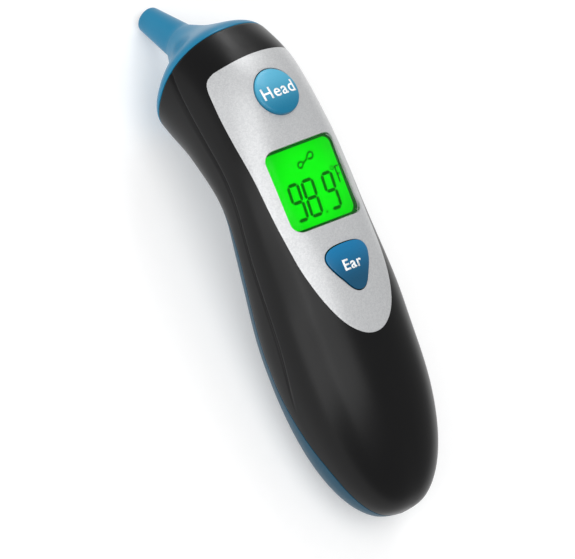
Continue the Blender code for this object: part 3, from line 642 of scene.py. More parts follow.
class ShellSurface:
    """The smooth outer surface of the shell, from the pole of the foot to the rim at the probe."""

    ROWS = 251
    FOOT_LENGTH = 48.9
    FOOT_ROUNDNESS = 2.3
    FOOT_STATIONS = 6
    FOOT_DROP = 0.5
    PARTING = ((-71.6, -6.2), (-62.0, -6.3), (-54.0, -6.9), (-47.0, -8.4), (-40.0, -9.9), (-27.0, -12.1),
               (-13.5, -11.6), (0.0, -9.7), (13.5, -7.9), (21.0, -8.8), (28.0, -11.9), (36.0, -17.2),
               (43.0, -22.4), (52.0, -29.5))
    GROOVE = ((-71.6, -6.2), (-45.0, -8.2), (-37.0, -7.6), (-30.0, -6.2), (-16.5, -3.6), (2.5, -3.4), (13.5, -2.6),
              (29.0, -1.8), (40.5, -4.3), (54.6, -7.2), (70.0, -9.6))

    def __init__(self) -> None:
        """Works out the sections between the stations."""
        widest = STATIONS[0]
        middle = (widest.front[1] + widest.back[1]) / 2
        half_depth = (widest.front[1] - widest.back[1]) / 2
        rows = []
        for i in range(self.FOOT_STATIONS):
            angle = math.pi / 2 * i / self.FOOT_STATIONS
            reach = math.cos(angle) ** (2 / self.FOOT_ROUNDNESS)
            share = math.sin(angle) ** (2 / self.FOOT_ROUNDNESS)
            y = widest.front[0] - self.FOOT_LENGTH * reach
            z = middle - self.FOOT_DROP * reach
            rows.append((y, z + half_depth * share, y, z - half_depth * share,
                         widest.half_width * share, widest.roundness))
        rows.extend((*s.front, *s.back, s.half_width, s.roundness) for s in STATIONS)
        table = np.array(rows)
        steps = np.linalg.norm(np.diff(table[:, :5], axis=0), axis=1)
        knots = np.concatenate(([0.0], np.cumsum(steps)))
        fine = natural_spline(knots, table, np.linspace(0.0, knots[-1], self.ROWS))
        self.middle_y = (fine[:, 0] + fine[:, 2]) / 2
        self.middle_z = (fine[:, 1] + fine[:, 3]) / 2
        self.up_y = (fine[:, 0] - fine[:, 2]) / 2
        self.up_z = (fine[:, 1] - fine[:, 3]) / 2
        self.half_width = np.maximum(fine[:, 4], 0.0)
        self.roundness = fine[:, 5]

    def height(self, x: float, y: float, side: Side) -> float:
        """Finds how high the surface stands over a point.

        Args:
            x: How far right the point is.
            y: How far along the handle it is.
            side: Whether the front or the back is meant.

        Returns:
            The height Z in the body frame.
        """
        wide = self.half_width > abs(x)
        share = (1 - (abs(x) / self.half_width[wide]) ** self.roundness[wide]) ** (1 / self.roundness[wide])
        share = share * side.value
        along = self.middle_y[wide] + self.up_y[wide] * share
        return float(np.interp(y, along, self.middle_z[wide] + self.up_z[wide] * share))

    def crossing(self, row: int, line: tuple[tuple[float, float], ...]) -> float:
        """Finds where a section meets a line drawn along the shell's side.

        Args:
            row: The section's number.
            line: The line's points, as Y and Z.

        Returns:
            The angle round the section, from its widest point towards the front.
        """
        points = np.array(line)
        share = np.linspace(-0.999, 0.999, 400)
        along = self.middle_y[row] + self.up_y[row] * share
        high = self.middle_z[row] + self.up_z[row] * share
        wanted = natural_spline(points[:, 0], points[:, 1:], np.clip(along, line[0][0], line[-1][0]))[:, 0]
        meets = float(np.interp(0.0, high - wanted, share))
        return math.copysign(math.asin(abs(meets) ** (self.roundness[row] / 2)), meets)

    def arc(self, row: int, start: float, end: float) -> tuple[np.ndarray, np.ndarray, np.ndarray]:
        """Walks round part of a section.

        Args:
            row: The section's number.
            start: The first angle.
            end: The last angle.

        Returns:
            The distance walked, how far across and how far up each step is.
        """
        angle = np.linspace(start, end, 500)
        power = 2 / self.roundness[row]
        depth = math.hypot(self.up_y[row], self.up_z[row])
        across = self.half_width[row] * np.sign(np.cos(angle)) * np.abs(np.cos(angle)) ** power
        up = depth * np.sign(np.sin(angle)) * np.abs(np.sin(angle)) ** power
        walked = np.concatenate(([0.0], np.cumsum(np.hypot(np.diff(across), np.diff(up)))))
        return walked, across, up

    def point(self, row: int, across: float, up: float) -> Vector:
        """Returns the place of a point in a section's own plane."""
        depth = max(math.hypot(self.up_y[row], self.up_z[row]), 1e-6)
        return Vector((across, self.middle_y[row] + self.up_y[row] / depth * up,
                       self.middle_z[row] + self.up_z[row] / depth * up))


SURFACE = ShellSurface()


def bend_to_shell(bm: bmesh.types.BMesh, side: Side, proud: float) -> None:
    """Lifts a flat sheet onto the shell's surface, standing proud of it by the given height."""
    for vert in bm.verts:
        vert.co.z = SURFACE.height(vert.co.x, vert.co.y, side) + proud * side.value


# ---------------------------------------------------------------- sub-assemblies


@dataclass
class Casing:
    """The black front shell, the blue rear shell with its battery tub, and the lift-off door."""

    finishes: Finishes
    wall: float = 1.9
    half_gap: float = 0.15
    groove_width: float = 0.55
    groove_depth: float = 0.28
    groove_from_y: float = -36.0
    groove_full_y: float = -24.0
    side_columns: int = 14
    face_columns: int = 62
    window_margin: float = 1.6
    door_centre: tuple[float, float] = (0.0, -21.8)
    door_size: tuple[float, float] = (24.8, 63.2)
    door_corner: float = 4.0
    door_wall: float = 1.25
    door_gap: float = 0.25
    cutter_start: float = 12.0
    cutter_depth: float = 30.0
    tub_low: tuple[float, float] = (-11.4, -53.0)
    tub_size: tuple[float, float] = (22.8, 62.2)
    tub_ceiling: float = -7.4
    tub_wall: float = 0.9
    ledge_gap: float = 0.35
    edge_round: float = 0.22
    edge_angle: float = 62.0
    rib_count: int = 5
    rib_first_y: float = 1.2
    rib_pitch: float = 1.5
    rib_radius: float = 0.4
    rib_reach: float = 5.5
    rib_sunk: float = 0.3
    rib_height: float = 0.65

    def half_positions(self, length: float, groove: float) -> tuple[np.ndarray, np.ndarray]:
        """Spreads a section's points from the parting line to its top.

        Args:
            length: How long that half of the section is.
            groove: How far from the parting line the groove runs.

        Returns:
            The distance of each point from the parting line, and how deep in the groove it lies, from 0 to 1.
        """
        trim = min(self.half_gap, 0.02 * length)
        width = min(self.groove_width, 0.25 * groove)
        low = np.linspace(trim, groove - width, self.side_columns)
        notch = groove + width * np.array((-0.5, 0.0, 0.5))
        high = np.linspace(groove + width, length, self.face_columns)
        depth = np.concatenate((np.zeros(len(low)), (0.6, 1.0, 0.6), np.zeros(len(high))))
        return np.concatenate((low, notch, high)), depth

    def front_row(self, row: int) -> list[Vector]:
        """Returns the points across one section of the front shell, from right to left."""
        start = SURFACE.crossing(row, SURFACE.PARTING)
        walked, across, up = SURFACE.arc(row, start, math.pi / 2)
        length = float(walked[-1])
        if length < 1e-5:
            count = self.side_columns + 3 + self.face_columns
            return [SURFACE.point(row, 0.0, 0.0)] * (2 * count - 1)
        to_groove, _, _ = SURFACE.arc(row, start, max(SURFACE.crossing(row, SURFACE.GROOVE), start + 1e-4))
        groove = max(float(to_groove[-1]), min(0.9, 0.2 * length))
        positions, depth = self.half_positions(length, groove)
        y = SURFACE.middle_y[row]
        fade = min(1.0, max(0.0, (y - self.groove_from_y) / (self.groove_full_y - self.groove_from_y)))
        depth = depth * fade * self.groove_depth
        xs = np.interp(positions, walked, across)
        ups = np.interp(positions, walked, up)
        lean = np.arctan2(np.gradient(ups), np.gradient(xs))
        xs = xs - np.sin(lean) * depth
        ups = ups + np.cos(lean) * depth
        right = [SURFACE.point(row, x, h) for x, h in zip(xs, ups)]
        left = [Vector((-p.x, p.y, p.z)) for p in reversed(right[:-1])]
        return right + left

    def rear_row(self, row: int) -> list[Vector]:
        """Returns the points across one section of the rear shell, from left to right."""
        end = SURFACE.crossing(row, SURFACE.PARTING)
        walked, across, up = SURFACE.arc(row, -math.pi / 2, end)
        length = float(walked[-1])
        trim = min(self.half_gap, 0.02 * length)
        positions = np.linspace(0.0, max(length - trim, 0.0), self.face_columns)
        right = [SURFACE.point(row, float(np.interp(p, walked, across)), float(np.interp(p, walked, up)))
                 for p in positions]
        left = [Vector((-p.x, p.y, p.z)) for p in reversed(right[1:])]
        return left + right

    def patch(self, rows: list[list[Vector]]) -> bmesh.types.BMesh:
        """Maps a grid onto rows of points, with a welded pole and normals facing out."""
        bm = bmesh.new()
        bmesh.ops.create_grid(bm, x_segments=len(rows[0]) - 1, y_segments=len(rows) - 1, size=1.0)
        for vert in bm.verts:
            column = round((vert.co.x + 1) / 2 * (len(rows[0]) - 1))
            row = round((vert.co.y + 1) / 2 * (len(rows) - 1))
            vert.co = rows[row][column]
        bmesh.ops.remove_doubles(bm, verts=bm.verts, dist=1e-3)
        centre = Vector((0.0, 0.0, -5.0))
        bmesh.ops.recalc_face_normals(bm, faces=bm.faces)
        outward = sum((face.calc_center_median() - centre).dot(face.normal) for face in bm.faces)
        if outward < 0:
            bmesh.ops.reverse_faces(bm, faces=bm.faces)
        return bm

    def build_front(self, fascia: "Fascia") -> None:
        """Builds the front shell with its side groove and the opening under the fascia."""
        rows = [self.front_row(row) for row in range(SURFACE.ROWS)]
        bm = self.patch(rows)
        hidden = [face for face in bm.faces if fascia.covers(face.calc_center_median(), self.window_margin)]
        bmesh.ops.delete(bm, geom=hidden, context="FACES")
        piece = finish_piece(bm, "front_shell", self.finishes.black, Body.CASING, ("front_casing",))
        add_wall(piece, self.wall)
        soften(piece, self.edge_round, 2, self.edge_angle)

    def door_outline(self, grow: float) -> list[tuple[float, float]]:
        """Returns the door's outline, grown all round."""
        size = (self.door_size[0] + 2 * grow, self.door_size[1] + 2 * grow)
        return rounded_rectangle(self.door_centre, size, self.door_corner + grow)

    def build_rear(self) -> None:
        """Builds the rear shell with the hole that the door closes."""
        rows = [self.rear_row(row) for row in range(SURFACE.ROWS)]
        # The rear shell takes the darker teal, a painted shade
        piece = finish_piece(self.patch(rows), "rear_shell", self.finishes.blue_painted_shade, Body.CASING,
                             ("rear_casing",))
        add_wall(piece, self.wall)
        apply_modifiers(piece)
        cutter = flat_sheet(self.door_outline(self.door_gap), [], 80.0)
        bmesh.ops.translate(cutter, verts=cutter.verts, vec=(0, 0, -self.cutter_start))
        thicken(cutter, -self.cutter_depth)
        cutter.transform(LAY_DOWN)
        mesh = bpy.data.meshes.new("door_hole")
        cutter.to_mesh(mesh)
        cutter.free()
        tool = bpy.data.objects.new("door_hole", mesh)
        bpy.context.scene.collection.objects.link(tool)
        opening = piece.modifiers.new("door_hole", "BOOLEAN")
        opening.operation = "DIFFERENCE"
        opening.solver = "EXACT"
        opening.object = tool
        apply_modifiers(piece)
        bpy.data.objects.remove(tool, do_unlink=True)
        soften(piece, self.edge_round, 2, self.edge_angle)

    def build_tub(self) -> None:
        """Builds the tray that holds the cells, whose rim is the ledge under the door."""
        bm = bmesh.new()
        bmesh.ops.create_grid(bm, x_segments=12, y_segments=32, size=1.0)
        for vert in bm.verts:
            vert.co = Vector((self.tub_low[0] + self.tub_size[0] * (vert.co.x + 1) / 2,
                              self.tub_low[1] + self.tub_size[1] * (vert.co.y + 1) / 2, self.tub_ceiling))
        rim = [edge for edge in bm.edges if edge.is_boundary]
        walls = bmesh.ops.extrude_edge_only(bm, edges=rim)
        for vert in walls["geom"]:
            if isinstance(vert, bmesh.types.BMVert):
                vert.co.z = SURFACE.height(vert.co.x, vert.co.y, Side.BACK) + self.door_wall + self.ledge_gap
        bmesh.ops.recalc_face_normals(bm, faces=bm.faces)
        if sum(face.normal.z for face in bm.faces) < 0:
            bmesh.ops.reverse_faces(bm, faces=bm.faces)
        bmesh.ops.solidify(bm, geom=bm.faces[:], thickness=-self.tub_wall)
        piece = finish_piece(bm, "battery_tub", self.finishes.blue_painted_shade, Body.CASING)
        soften(piece, 0.15)

    def build_door(self) -> None:
        """Builds the door, its rest flat and the ribs under the thumb."""
        bm = flat_sheet(self.door_outline(0.0), [], 1.2, Side.BACK)
        bend_to_shell(bm, Side.BACK, 0.0)
        piece = finish_piece(bm, "battery_door_panel", self.finishes.blue_painted_shade, Body.DOOR,
                             ("battery_door",))
        for vert in piece.data.vertices:
            vert.co.z = max(vert.co.z, 0.0)
        add_wall(piece, self.door_wall)
        soften(piece, 0.2)
        ribs = bmesh.new()
        for i in range(self.rib_count):
            y = self.rib_first_y + self.rib_pitch * i
            made = bmesh.ops.create_circle(ribs, cap_ends=True, segments=24, radius=self.rib_radius)
            stretch = self.rib_reach - 0.5 * abs(i - self.rib_count // 2)
            for vert in made["verts"]:
                side = math.copysign(stretch, vert.co.x) if abs(vert.co.x) > 1e-6 else 0.0
                vert.co = Vector((vert.co.x + side, vert.co.y + y, 0.0))
                vert.co.z = SURFACE.height(vert.co.x, vert.co.y, Side.BACK) + self.rib_sunk
        thicken(ribs, -self.rib_height)
        grip = finish_piece(ribs, "door_grip_ribs", self.finishes.blue_painted_shade, Body.DOOR)
        soften(grip, 0.15)


@dataclass
class Fascia:
    """The silver panel let into the front shell, with openings for the display and both buttons."""

    finishes: Finishes
    proud: float = 0.16
    thickness: float = 1.2
    edge: tuple[tuple[float, float], ...] = (
        (13.0, 57.8), (14.8, 56.6), (15.8, 54.4), (16.2, 51.4), (16.5, 46.5), (16.6, 40.5), (16.45, 34.0),
        (16.1, 27.1), (15.75, 19.0), (15.3, 12.0), (14.8, 5.4), (14.25, -0.5), (13.4, -5.2), (12.2, -9.8),
        (10.4, -14.4), (8.3, -18.0), (5.6, -20.8), (2.8, -22.45), (0.0, -22.95),
    )
    top_rise: float = 1.5
    top_margin: float = 0.8
    display_centre: tuple[float, float] = (0.5, 20.7)
    display_size: tuple[float, float] = (25.5, 23.6)
    display_corner: float = 3.2
    head_centre: tuple[float, float, float] = (0.0, 47.3, 9.0)
    head_lean: float = math.radians(14.65)
    head_radius: float = 6.8
    button_gap: float = 0.3

    def outline(self) -> list[tuple[float, float]]:
        """Returns the panel's edge, down the right side, round the tip and back over the top."""
        left = [(-x, y) for x, y in reversed(self.edge[:-1])]
        sides = smooth_outline(list(self.edge) + left, 180)
        half = self.edge[0][0]
        top = [(x, self.edge[0][1] + self.top_rise * (1 - (x / half) ** 2))
               for x in np.linspace(-half, half, 26)[1:-1]]
        return sides + [(float(x), float(y)) for x, y in top]

    def covers(self, point: Vector, margin: float) -> bool:
        """Says whether a point of the shell lies under the panel, further in than the margin."""
        top = self.edge[0][1] + self.top_rise - margin - self.top_margin
        if point.z < 0 or point.y > top or point.y < self.edge[-1][1] + margin:
            return False
        ys = [y for _, y in reversed(self.edge)]
        xs = [x for x, _ in reversed(self.edge)]
        return abs(point.x) < float(np.interp(point.y, ys, xs)) - margin

    def head_hole(self, radius: float) -> list[tuple[float, float]]:
        """Returns the head button's round outline as it is seen from straight above."""
        x0, y0, _ = self.head_centre
        squash = math.cos(self.head_lean)
        return [(x0 + radius * math.cos(a), y0 + radius * squash * math.sin(a))
                for a in np.linspace(0.0, 2 * math.pi, 96, endpoint=False)]

    def build(self, ear: "EarButton") -> None:
        """Builds the panel."""
        holes = [rounded_rectangle(self.display_centre, self.display_size, self.display_corner, 10),
                 self.head_hole(self.head_radius + self.button_gap), ear.outline(self.button_gap)]
        bm = flat_sheet(self.outline(), holes, 1.1)
        bend_to_shell(bm, Side.FRONT, self.proud)
        piece = finish_piece(bm, "silver_fascia", self.finishes.silver, Body.CASING,
                             ("fascia_panel",))
        add_wall(piece, self.thickness)
        soften(piece, 0.22, 3)


@dataclass
class Display:
    """The backlit display: lens, light seal, and the reading that the glass shows."""

    finishes: Finishes
    fascia: Fascia
    lens_drop: float = 0.12
    lens_thickness: float = 0.9
    seal_gap: float = 0.2
    stroke: float = 0.95
    slant: float = 0.06
    segment_gap: float = 0.12
    digit_foot: float = 11.6
    digit_height: float = 10.8
    # Each digit's lit segments, its left edge and its width
    digits: tuple[tuple[str, float, float], ...] = (("abcdfg", -8.1, 4.3), ("abcdefg", -3.1, 4.6), ("abcdfg", 4.2, 4.2))
    decimal_point: Path = ((2.3, 12.0), (3.1, 12.0))
    point_width: float = 0.6
    degree_centre: tuple[float, float] = (9.5, 22.7)
    degree_radius: float = 0.55
    degree_width: float = 0.34
    unit_strokes: tuple[Path, ...] = (
        ((10.5, 18.2), (10.5, 23.0)), ((10.4, 22.8), (11.7, 22.8)), ((10.5, 20.6), (11.4, 20.6)),
    )
    unit_width: float = 0.42
    icon_stem: Path = (
        (-1.1, 26.0), (-0.6, 25.5), (0.3, 25.8), (1.0, 26.6), (2.3, 27.2), (3.1, 28.2),
        (4.2, 28.9), (5.1, 28.4), (4.8, 27.4), (3.9, 27.0), (3.0, 27.3),
    )
    icon_lobe: Path = ((-1.1, 26.0), (-0.9, 26.8), (-0.1, 27.2), (0.6, 27.0), (1.0, 26.6))
    icon_width: float = 0.75

    def build(self) -> None:
        """Builds the display's pieces."""
        self.build_lens()
        self.build_seal()
        self.build_reading()

    def build_lens(self) -> None:
        """Builds the clear plate, curved like the fascia."""
        width, height = self.fascia.display_size
        outline = rounded_rectangle(self.fascia.display_centre, (width - 0.4, height - 0.4), 2.8, 10)
        bm = flat_sheet(outline, [], 1.0)
        bend_to_shell(bm, Side.FRONT, -self.lens_drop)
        lens = finish_piece(bm, "display_window", self.finishes.clear, Body.CASING, ("display_lens",))
        add_wall(lens, self.lens_thickness)
        soften(lens, 0.12)

    def build_seal(self) -> None:
        """Builds the light seal that closes the space between the glass and the lens. Its glow is painted light from
        the backlight, and its band is wider on the right than on the left, a painted shade standing in for the recess's
        inner wall seen from the left.
        """
        width, height = self.fascia.display_size
        centre = self.fascia.display_centre
        outer = rounded_rectangle(centre, (width - 0.5, height - 0.5), 2.7, 10)
        # The inner edge sits 0.4 mm to the left, so the band is wider on the right: painted shade of the recess's inner
        # wall
        inner = rounded_rectangle((centre[0] - 0.4, centre[1] - 0.1), (width - 1.9, height - 1.7), 2.2, 10)
        bm = flat_sheet(outer, [inner], 1.0)
        raised = thicken(bm, 1.0)
        drop = self.lens_drop + self.lens_thickness + self.seal_gap
        for vert in set(bm.verts) - set(raised):
            vert.co.z = GLASS_TOP + 0.06
        for vert in raised:
            vert.co.z = SURFACE.height(vert.co.x, vert.co.y, Side.FRONT) - drop
        piece = finish_piece(bm, "display_seal_painted_light", self.finishes.seal, Body.CASING)
        soften(piece, 0.1)

    def bar(self, bm: bmesh.types.BMesh, start: tuple[float, float], end: tuple[float, float], width: float) -> None:
        """Adds one segment, a bar with pointed ends.

        Args:
            bm: The mesh that it joins.
            start: One end.
            end: The other end.
            width: How wide the bar is.
        """
        made = bmesh.ops.create_circle(bm, cap_ends=True, segments=6, radius=1.0)
        low, high = Vector((*start, 0.0)), Vector((*end, 0.0))
        along = high - low
        across = Vector((-along.y, along.x, 0.0)).normalized() * (width / 2)
        middle = (low + high) / 2
        for vert in made["verts"]:
            x, y = vert.co.y, vert.co.x
            reach = x if abs(x) > 0.9 else math.copysign(max(1.0 - width / along.length, 0.1), x)
            vert.co = middle + along * (reach / 2) + across * (math.copysign(1.0, y) if abs(y) > 0.5 else 0.0)

    def trace(self, bm: bmesh.types.BMesh, path: Sequence[tuple[float, float]], width: float) -> None:
        """Adds a bar of the given width between each two neighbours of a path."""
        for start, end in zip(path, path[1:]):
            self.bar(bm, start, end, width)

    def digit(self, bm: bmesh.types.BMesh, lit: str, low: tuple[float, float], size: tuple[float, float]) -> None:
        """Adds one seven-segment digit.

        Args:
            bm: The mesh that it joins.
            lit: The letters of its lit segments, from a to g.
            low: Its lower left corner.
            size: Its width and height.
        """
        half = self.stroke / 2
        left, right = low[0] + half, low[0] + size[0] - half
        bottom, top = low[1] + half, low[1] + size[1] - half
        middle = (bottom + top) / 2
        places = {
            "a": ((left, top), (right, top)), "b": ((right, middle), (right, top)),
            "c": ((right, bottom), (right, middle)), "d": ((left, bottom), (right, bottom)),
            "e": ((left, bottom), (left, middle)), "f": ((left, middle), (left, top)),
            "g": ((left, middle), (right, middle)),
        }
        for letter in lit:
            start, end = (Vector(point) for point in places[letter])
            step = (end - start).normalized() * self.segment_gap
            lean = [(point.x + self.slant * (point.y - low[1]), point.y) for point in (start + step, end - step)]
            self.bar(bm, lean[0], lean[1], self.stroke)

    def build_reading(self) -> None:
        """Builds the reading, a temperature with its unit and the icon of a probe."""
        bm = bmesh.new()
        for lit, low, width in self.digits:
            self.digit(bm, lit, (low, self.digit_foot), (width, self.digit_height))
        ring = [(self.degree_centre[0] + self.degree_radius * math.cos(angle),
                 self.degree_centre[1] + self.degree_radius * math.sin(angle))
                for angle in np.linspace(0.0, 2 * math.pi, 11)]
        self.trace(bm, self.decimal_point, self.point_width)
        self.trace(bm, ring, self.degree_width)
        for stroke in self.unit_strokes:
            self.trace(bm, stroke, self.unit_width)
        self.trace(bm, smooth_outline(self.icon_stem, 34), self.icon_width)
        self.trace(bm, smooth_outline(self.icon_lobe, 14), self.icon_width)
        bmesh.ops.translate(bm, verts=bm.verts, vec=(0, 0, GLASS_TOP + 0.02))
        thicken(bm, PRINT_HEIGHT)
        piece = finish_piece(bm, "display_segments", self.finishes.segment, Body.CASING)
        for face in piece.data.polygons:
            face.use_smooth = False


def word(text: str, cap_height: float, width: float, weight: float) -> bmesh.types.BMesh:
    """Sets a word in a plain font and scales it to size.

    Args:
        text: The word.
        cap_height: How tall its capital is.
        width: How wide the word is.
        weight: How much each stroke is thickened, as a share of the letter size.

    Returns:
        The word's flat mesh, centred on the origin with its baseline below.
    """
    curve = bpy.data.curves.new("legend", "FONT")
    curve.body = text
    curve.size = 1.0
    curve.offset = weight
    curve.space_character = 1.1
    curve.resolution_u = 6
    holder = bpy.data.objects.new("legend", curve)
    bpy.context.scene.collection.objects.link(holder)
    evaluated = holder.evaluated_get(bpy.context.evaluated_depsgraph_get())
    mesh = bpy.data.meshes.new_from_object(evaluated)
    bpy.data.objects.remove(holder, do_unlink=True)
    bm = bmesh.new()
    bm.from_mesh(mesh)
    bpy.data.meshes.remove(mesh)
    low = Vector([min(vert.co[axis] for vert in bm.verts) for axis in range(3)])
    high = Vector([max(vert.co[axis] for vert in bm.verts) for axis in range(3)])
    size = high - low
    for vert in bm.verts:
        vert.co.x = (vert.co.x - (low.x + high.x) / 2) / size.x * width
        vert.co.y = (vert.co.y - (low.y + high.y) / 2) / size.y * cap_height
    thicken(bm, PRINT_HEIGHT)
    return bm


@dataclass
class HeadButton:
    """The round button near the probe, domed, with its word printed on it."""

    finishes: Finishes
    fascia: Fascia
    rise: float = 0.35
    crown: float = 0.5
    depth: float = 3.6
    shoulder: float = 0.45
    cap_height: float = 3.6
    word_width: float = 11.2
    word_weight: float = 0.012

    def dome(self, distance: float) -> float:
        """Returns how high the cap stands at a distance from its middle."""
        return self.rise + self.crown * (1 - (distance / self.fascia.head_radius) ** 2)

    def seat(self) -> Matrix:
        """Returns the turn and place of the button in the body frame."""
        return Matrix.Translation(self.fascia.head_centre) @ Matrix.Rotation(-self.fascia.head_lean, 4, "X")

    def build(self) -> None:
        """Builds the cap and its word."""
        radius = self.fascia.head_radius
        profile = [(0.0, -self.depth), (radius, -self.depth), (radius, self.rise - self.shoulder)]
        profile += [(radius - self.shoulder * (1 - math.cos(a)), self.rise - self.shoulder * (1 - math.sin(a)))
                    for a in np.linspace(0.3, 1.4, 5)]
        profile += [(radius * s, self.dome(radius * s)) for s in np.linspace(0.9, 0.0, 12)]
        bm = bmesh.new()
        corners = [bm.verts.new((x, 0.0, z)) for x, z in profile]
        edges = [bm.edges.new(pair) for pair in zip(corners, corners[1:])]
        bmesh.ops.spin(bm, geom=corners + edges, cent=(0, 0, 0), axis=(0, 0, 1), angle=2 * math.pi, steps=96,
                       use_merge=True)
        bmesh.ops.remove_doubles(bm, verts=bm.verts, dist=1e-4)
        bmesh.ops.recalc_face_normals(bm, faces=bm.faces)
        bm.transform(self.seat())
        finish_piece(bm, "head_button_cap", self.finishes.head_key, Body.HEAD_BUTTON, ("head_button",))
        letters = word("Head", self.cap_height, self.word_width, self.word_weight)
        for vert in letters.verts:
            vert.co.z += self.dome(math.hypot(vert.co.x, vert.co.y)) + 0.01
        letters.transform(self.seat())
        finish_piece(letters, "head_button_word", self.finishes.legend, Body.HEAD_BUTTON)


@dataclass
class EarButton:
    """The shield-shaped button below the display, with its word printed on it."""

    finishes: Finishes
    centre: tuple[float, float] = (0.0, -4.1)
    size: tuple[float, float] = (14.6, 13.4)
    rise: float = 0.5
    crown: float = 0.35
    depth: float = 3.2
    cap_height: float = 3.1
    word_width: float = 6.3
    word_weight: float = 0.02
    word_y: float = -3.3

    def outline(self, grow: float) -> list[tuple[float, float]]:
        """Returns the button's bowed triangle that points to the foot, grown all round."""
        half = self.size[0] / 2
        top = self.centre[1] + self.size[1] / 2
        foot = top - self.size[1]
        right = [(0.0, top), (half * 0.35, top - 0.1), (half * 0.68, top - 0.55), (half * 0.9, top - 1.5),
                 (half, top - 3.1), (half * 0.95, top - 4.9), (half * 0.78, top - 7.4), (half * 0.55, top - 10.0),
                 (half * 0.36, top - 12.0), (half * 0.17, foot + 0.28), (0.0, foot)]
        loop = right + [(-x, y) for x, y in reversed(right[1:-1])]
        wrapped = loop[-3:] + loop + loop[:3]
        curve = smooth_outline(wrapped, 8 * len(wrapped))
        first = min(range(8, 60), key=lambda i: abs(curve[i][0]) + abs(curve[i][1] - top))
        last = min(range(first + 60, len(curve)), key=lambda i: abs(curve[i][0]) + abs(curve[i][1] - top))
        ring = curve[first:last]
        grown = []
        for i, (x, y) in enumerate(ring):
            before, after = ring[i - 1], ring[(i + 1) % len(ring)]
            step = Vector((after[0] - before[0], after[1] - before[1])).normalized()
            grown.append((x - step.y * grow, y + step.x * grow))
        return grown

    def lift(self, x: float, y: float) -> float:
        """Returns how high the cap stands over a point."""
        away = math.hypot(x - self.centre[0], y - self.centre[1] - 1.5) / (self.size[0] / 2)
        return SURFACE.height(x, y, Side.FRONT) + self.rise + self.crown * (1 - min(away, 1.2) ** 2)

    def build(self) -> None:
        """Builds the cap and its word."""
        bm = flat_sheet(self.outline(0.0), [], 0.8)
        for vert in bm.verts:
            vert.co.z = self.lift(vert.co.x, vert.co.y)
        cap = finish_piece(bm, "ear_button_cap", self.finishes.ear_key, Body.EAR_BUTTON,
                           ("ear_button",))
        add_wall(cap, self.depth)
        soften(cap, 0.45, 4)
        letters = word("Ear", self.cap_height, self.word_width, self.word_weight)
        bmesh.ops.translate(letters, verts=letters.verts, vec=(0.0, self.word_y, 0.0))
        for vert in letters.verts:
            vert.co.z += self.lift(vert.co.x, vert.co.y) + 0.01
        finish_piece(letters, "ear_button_word", self.finishes.legend, Body.EAR_BUTTON)


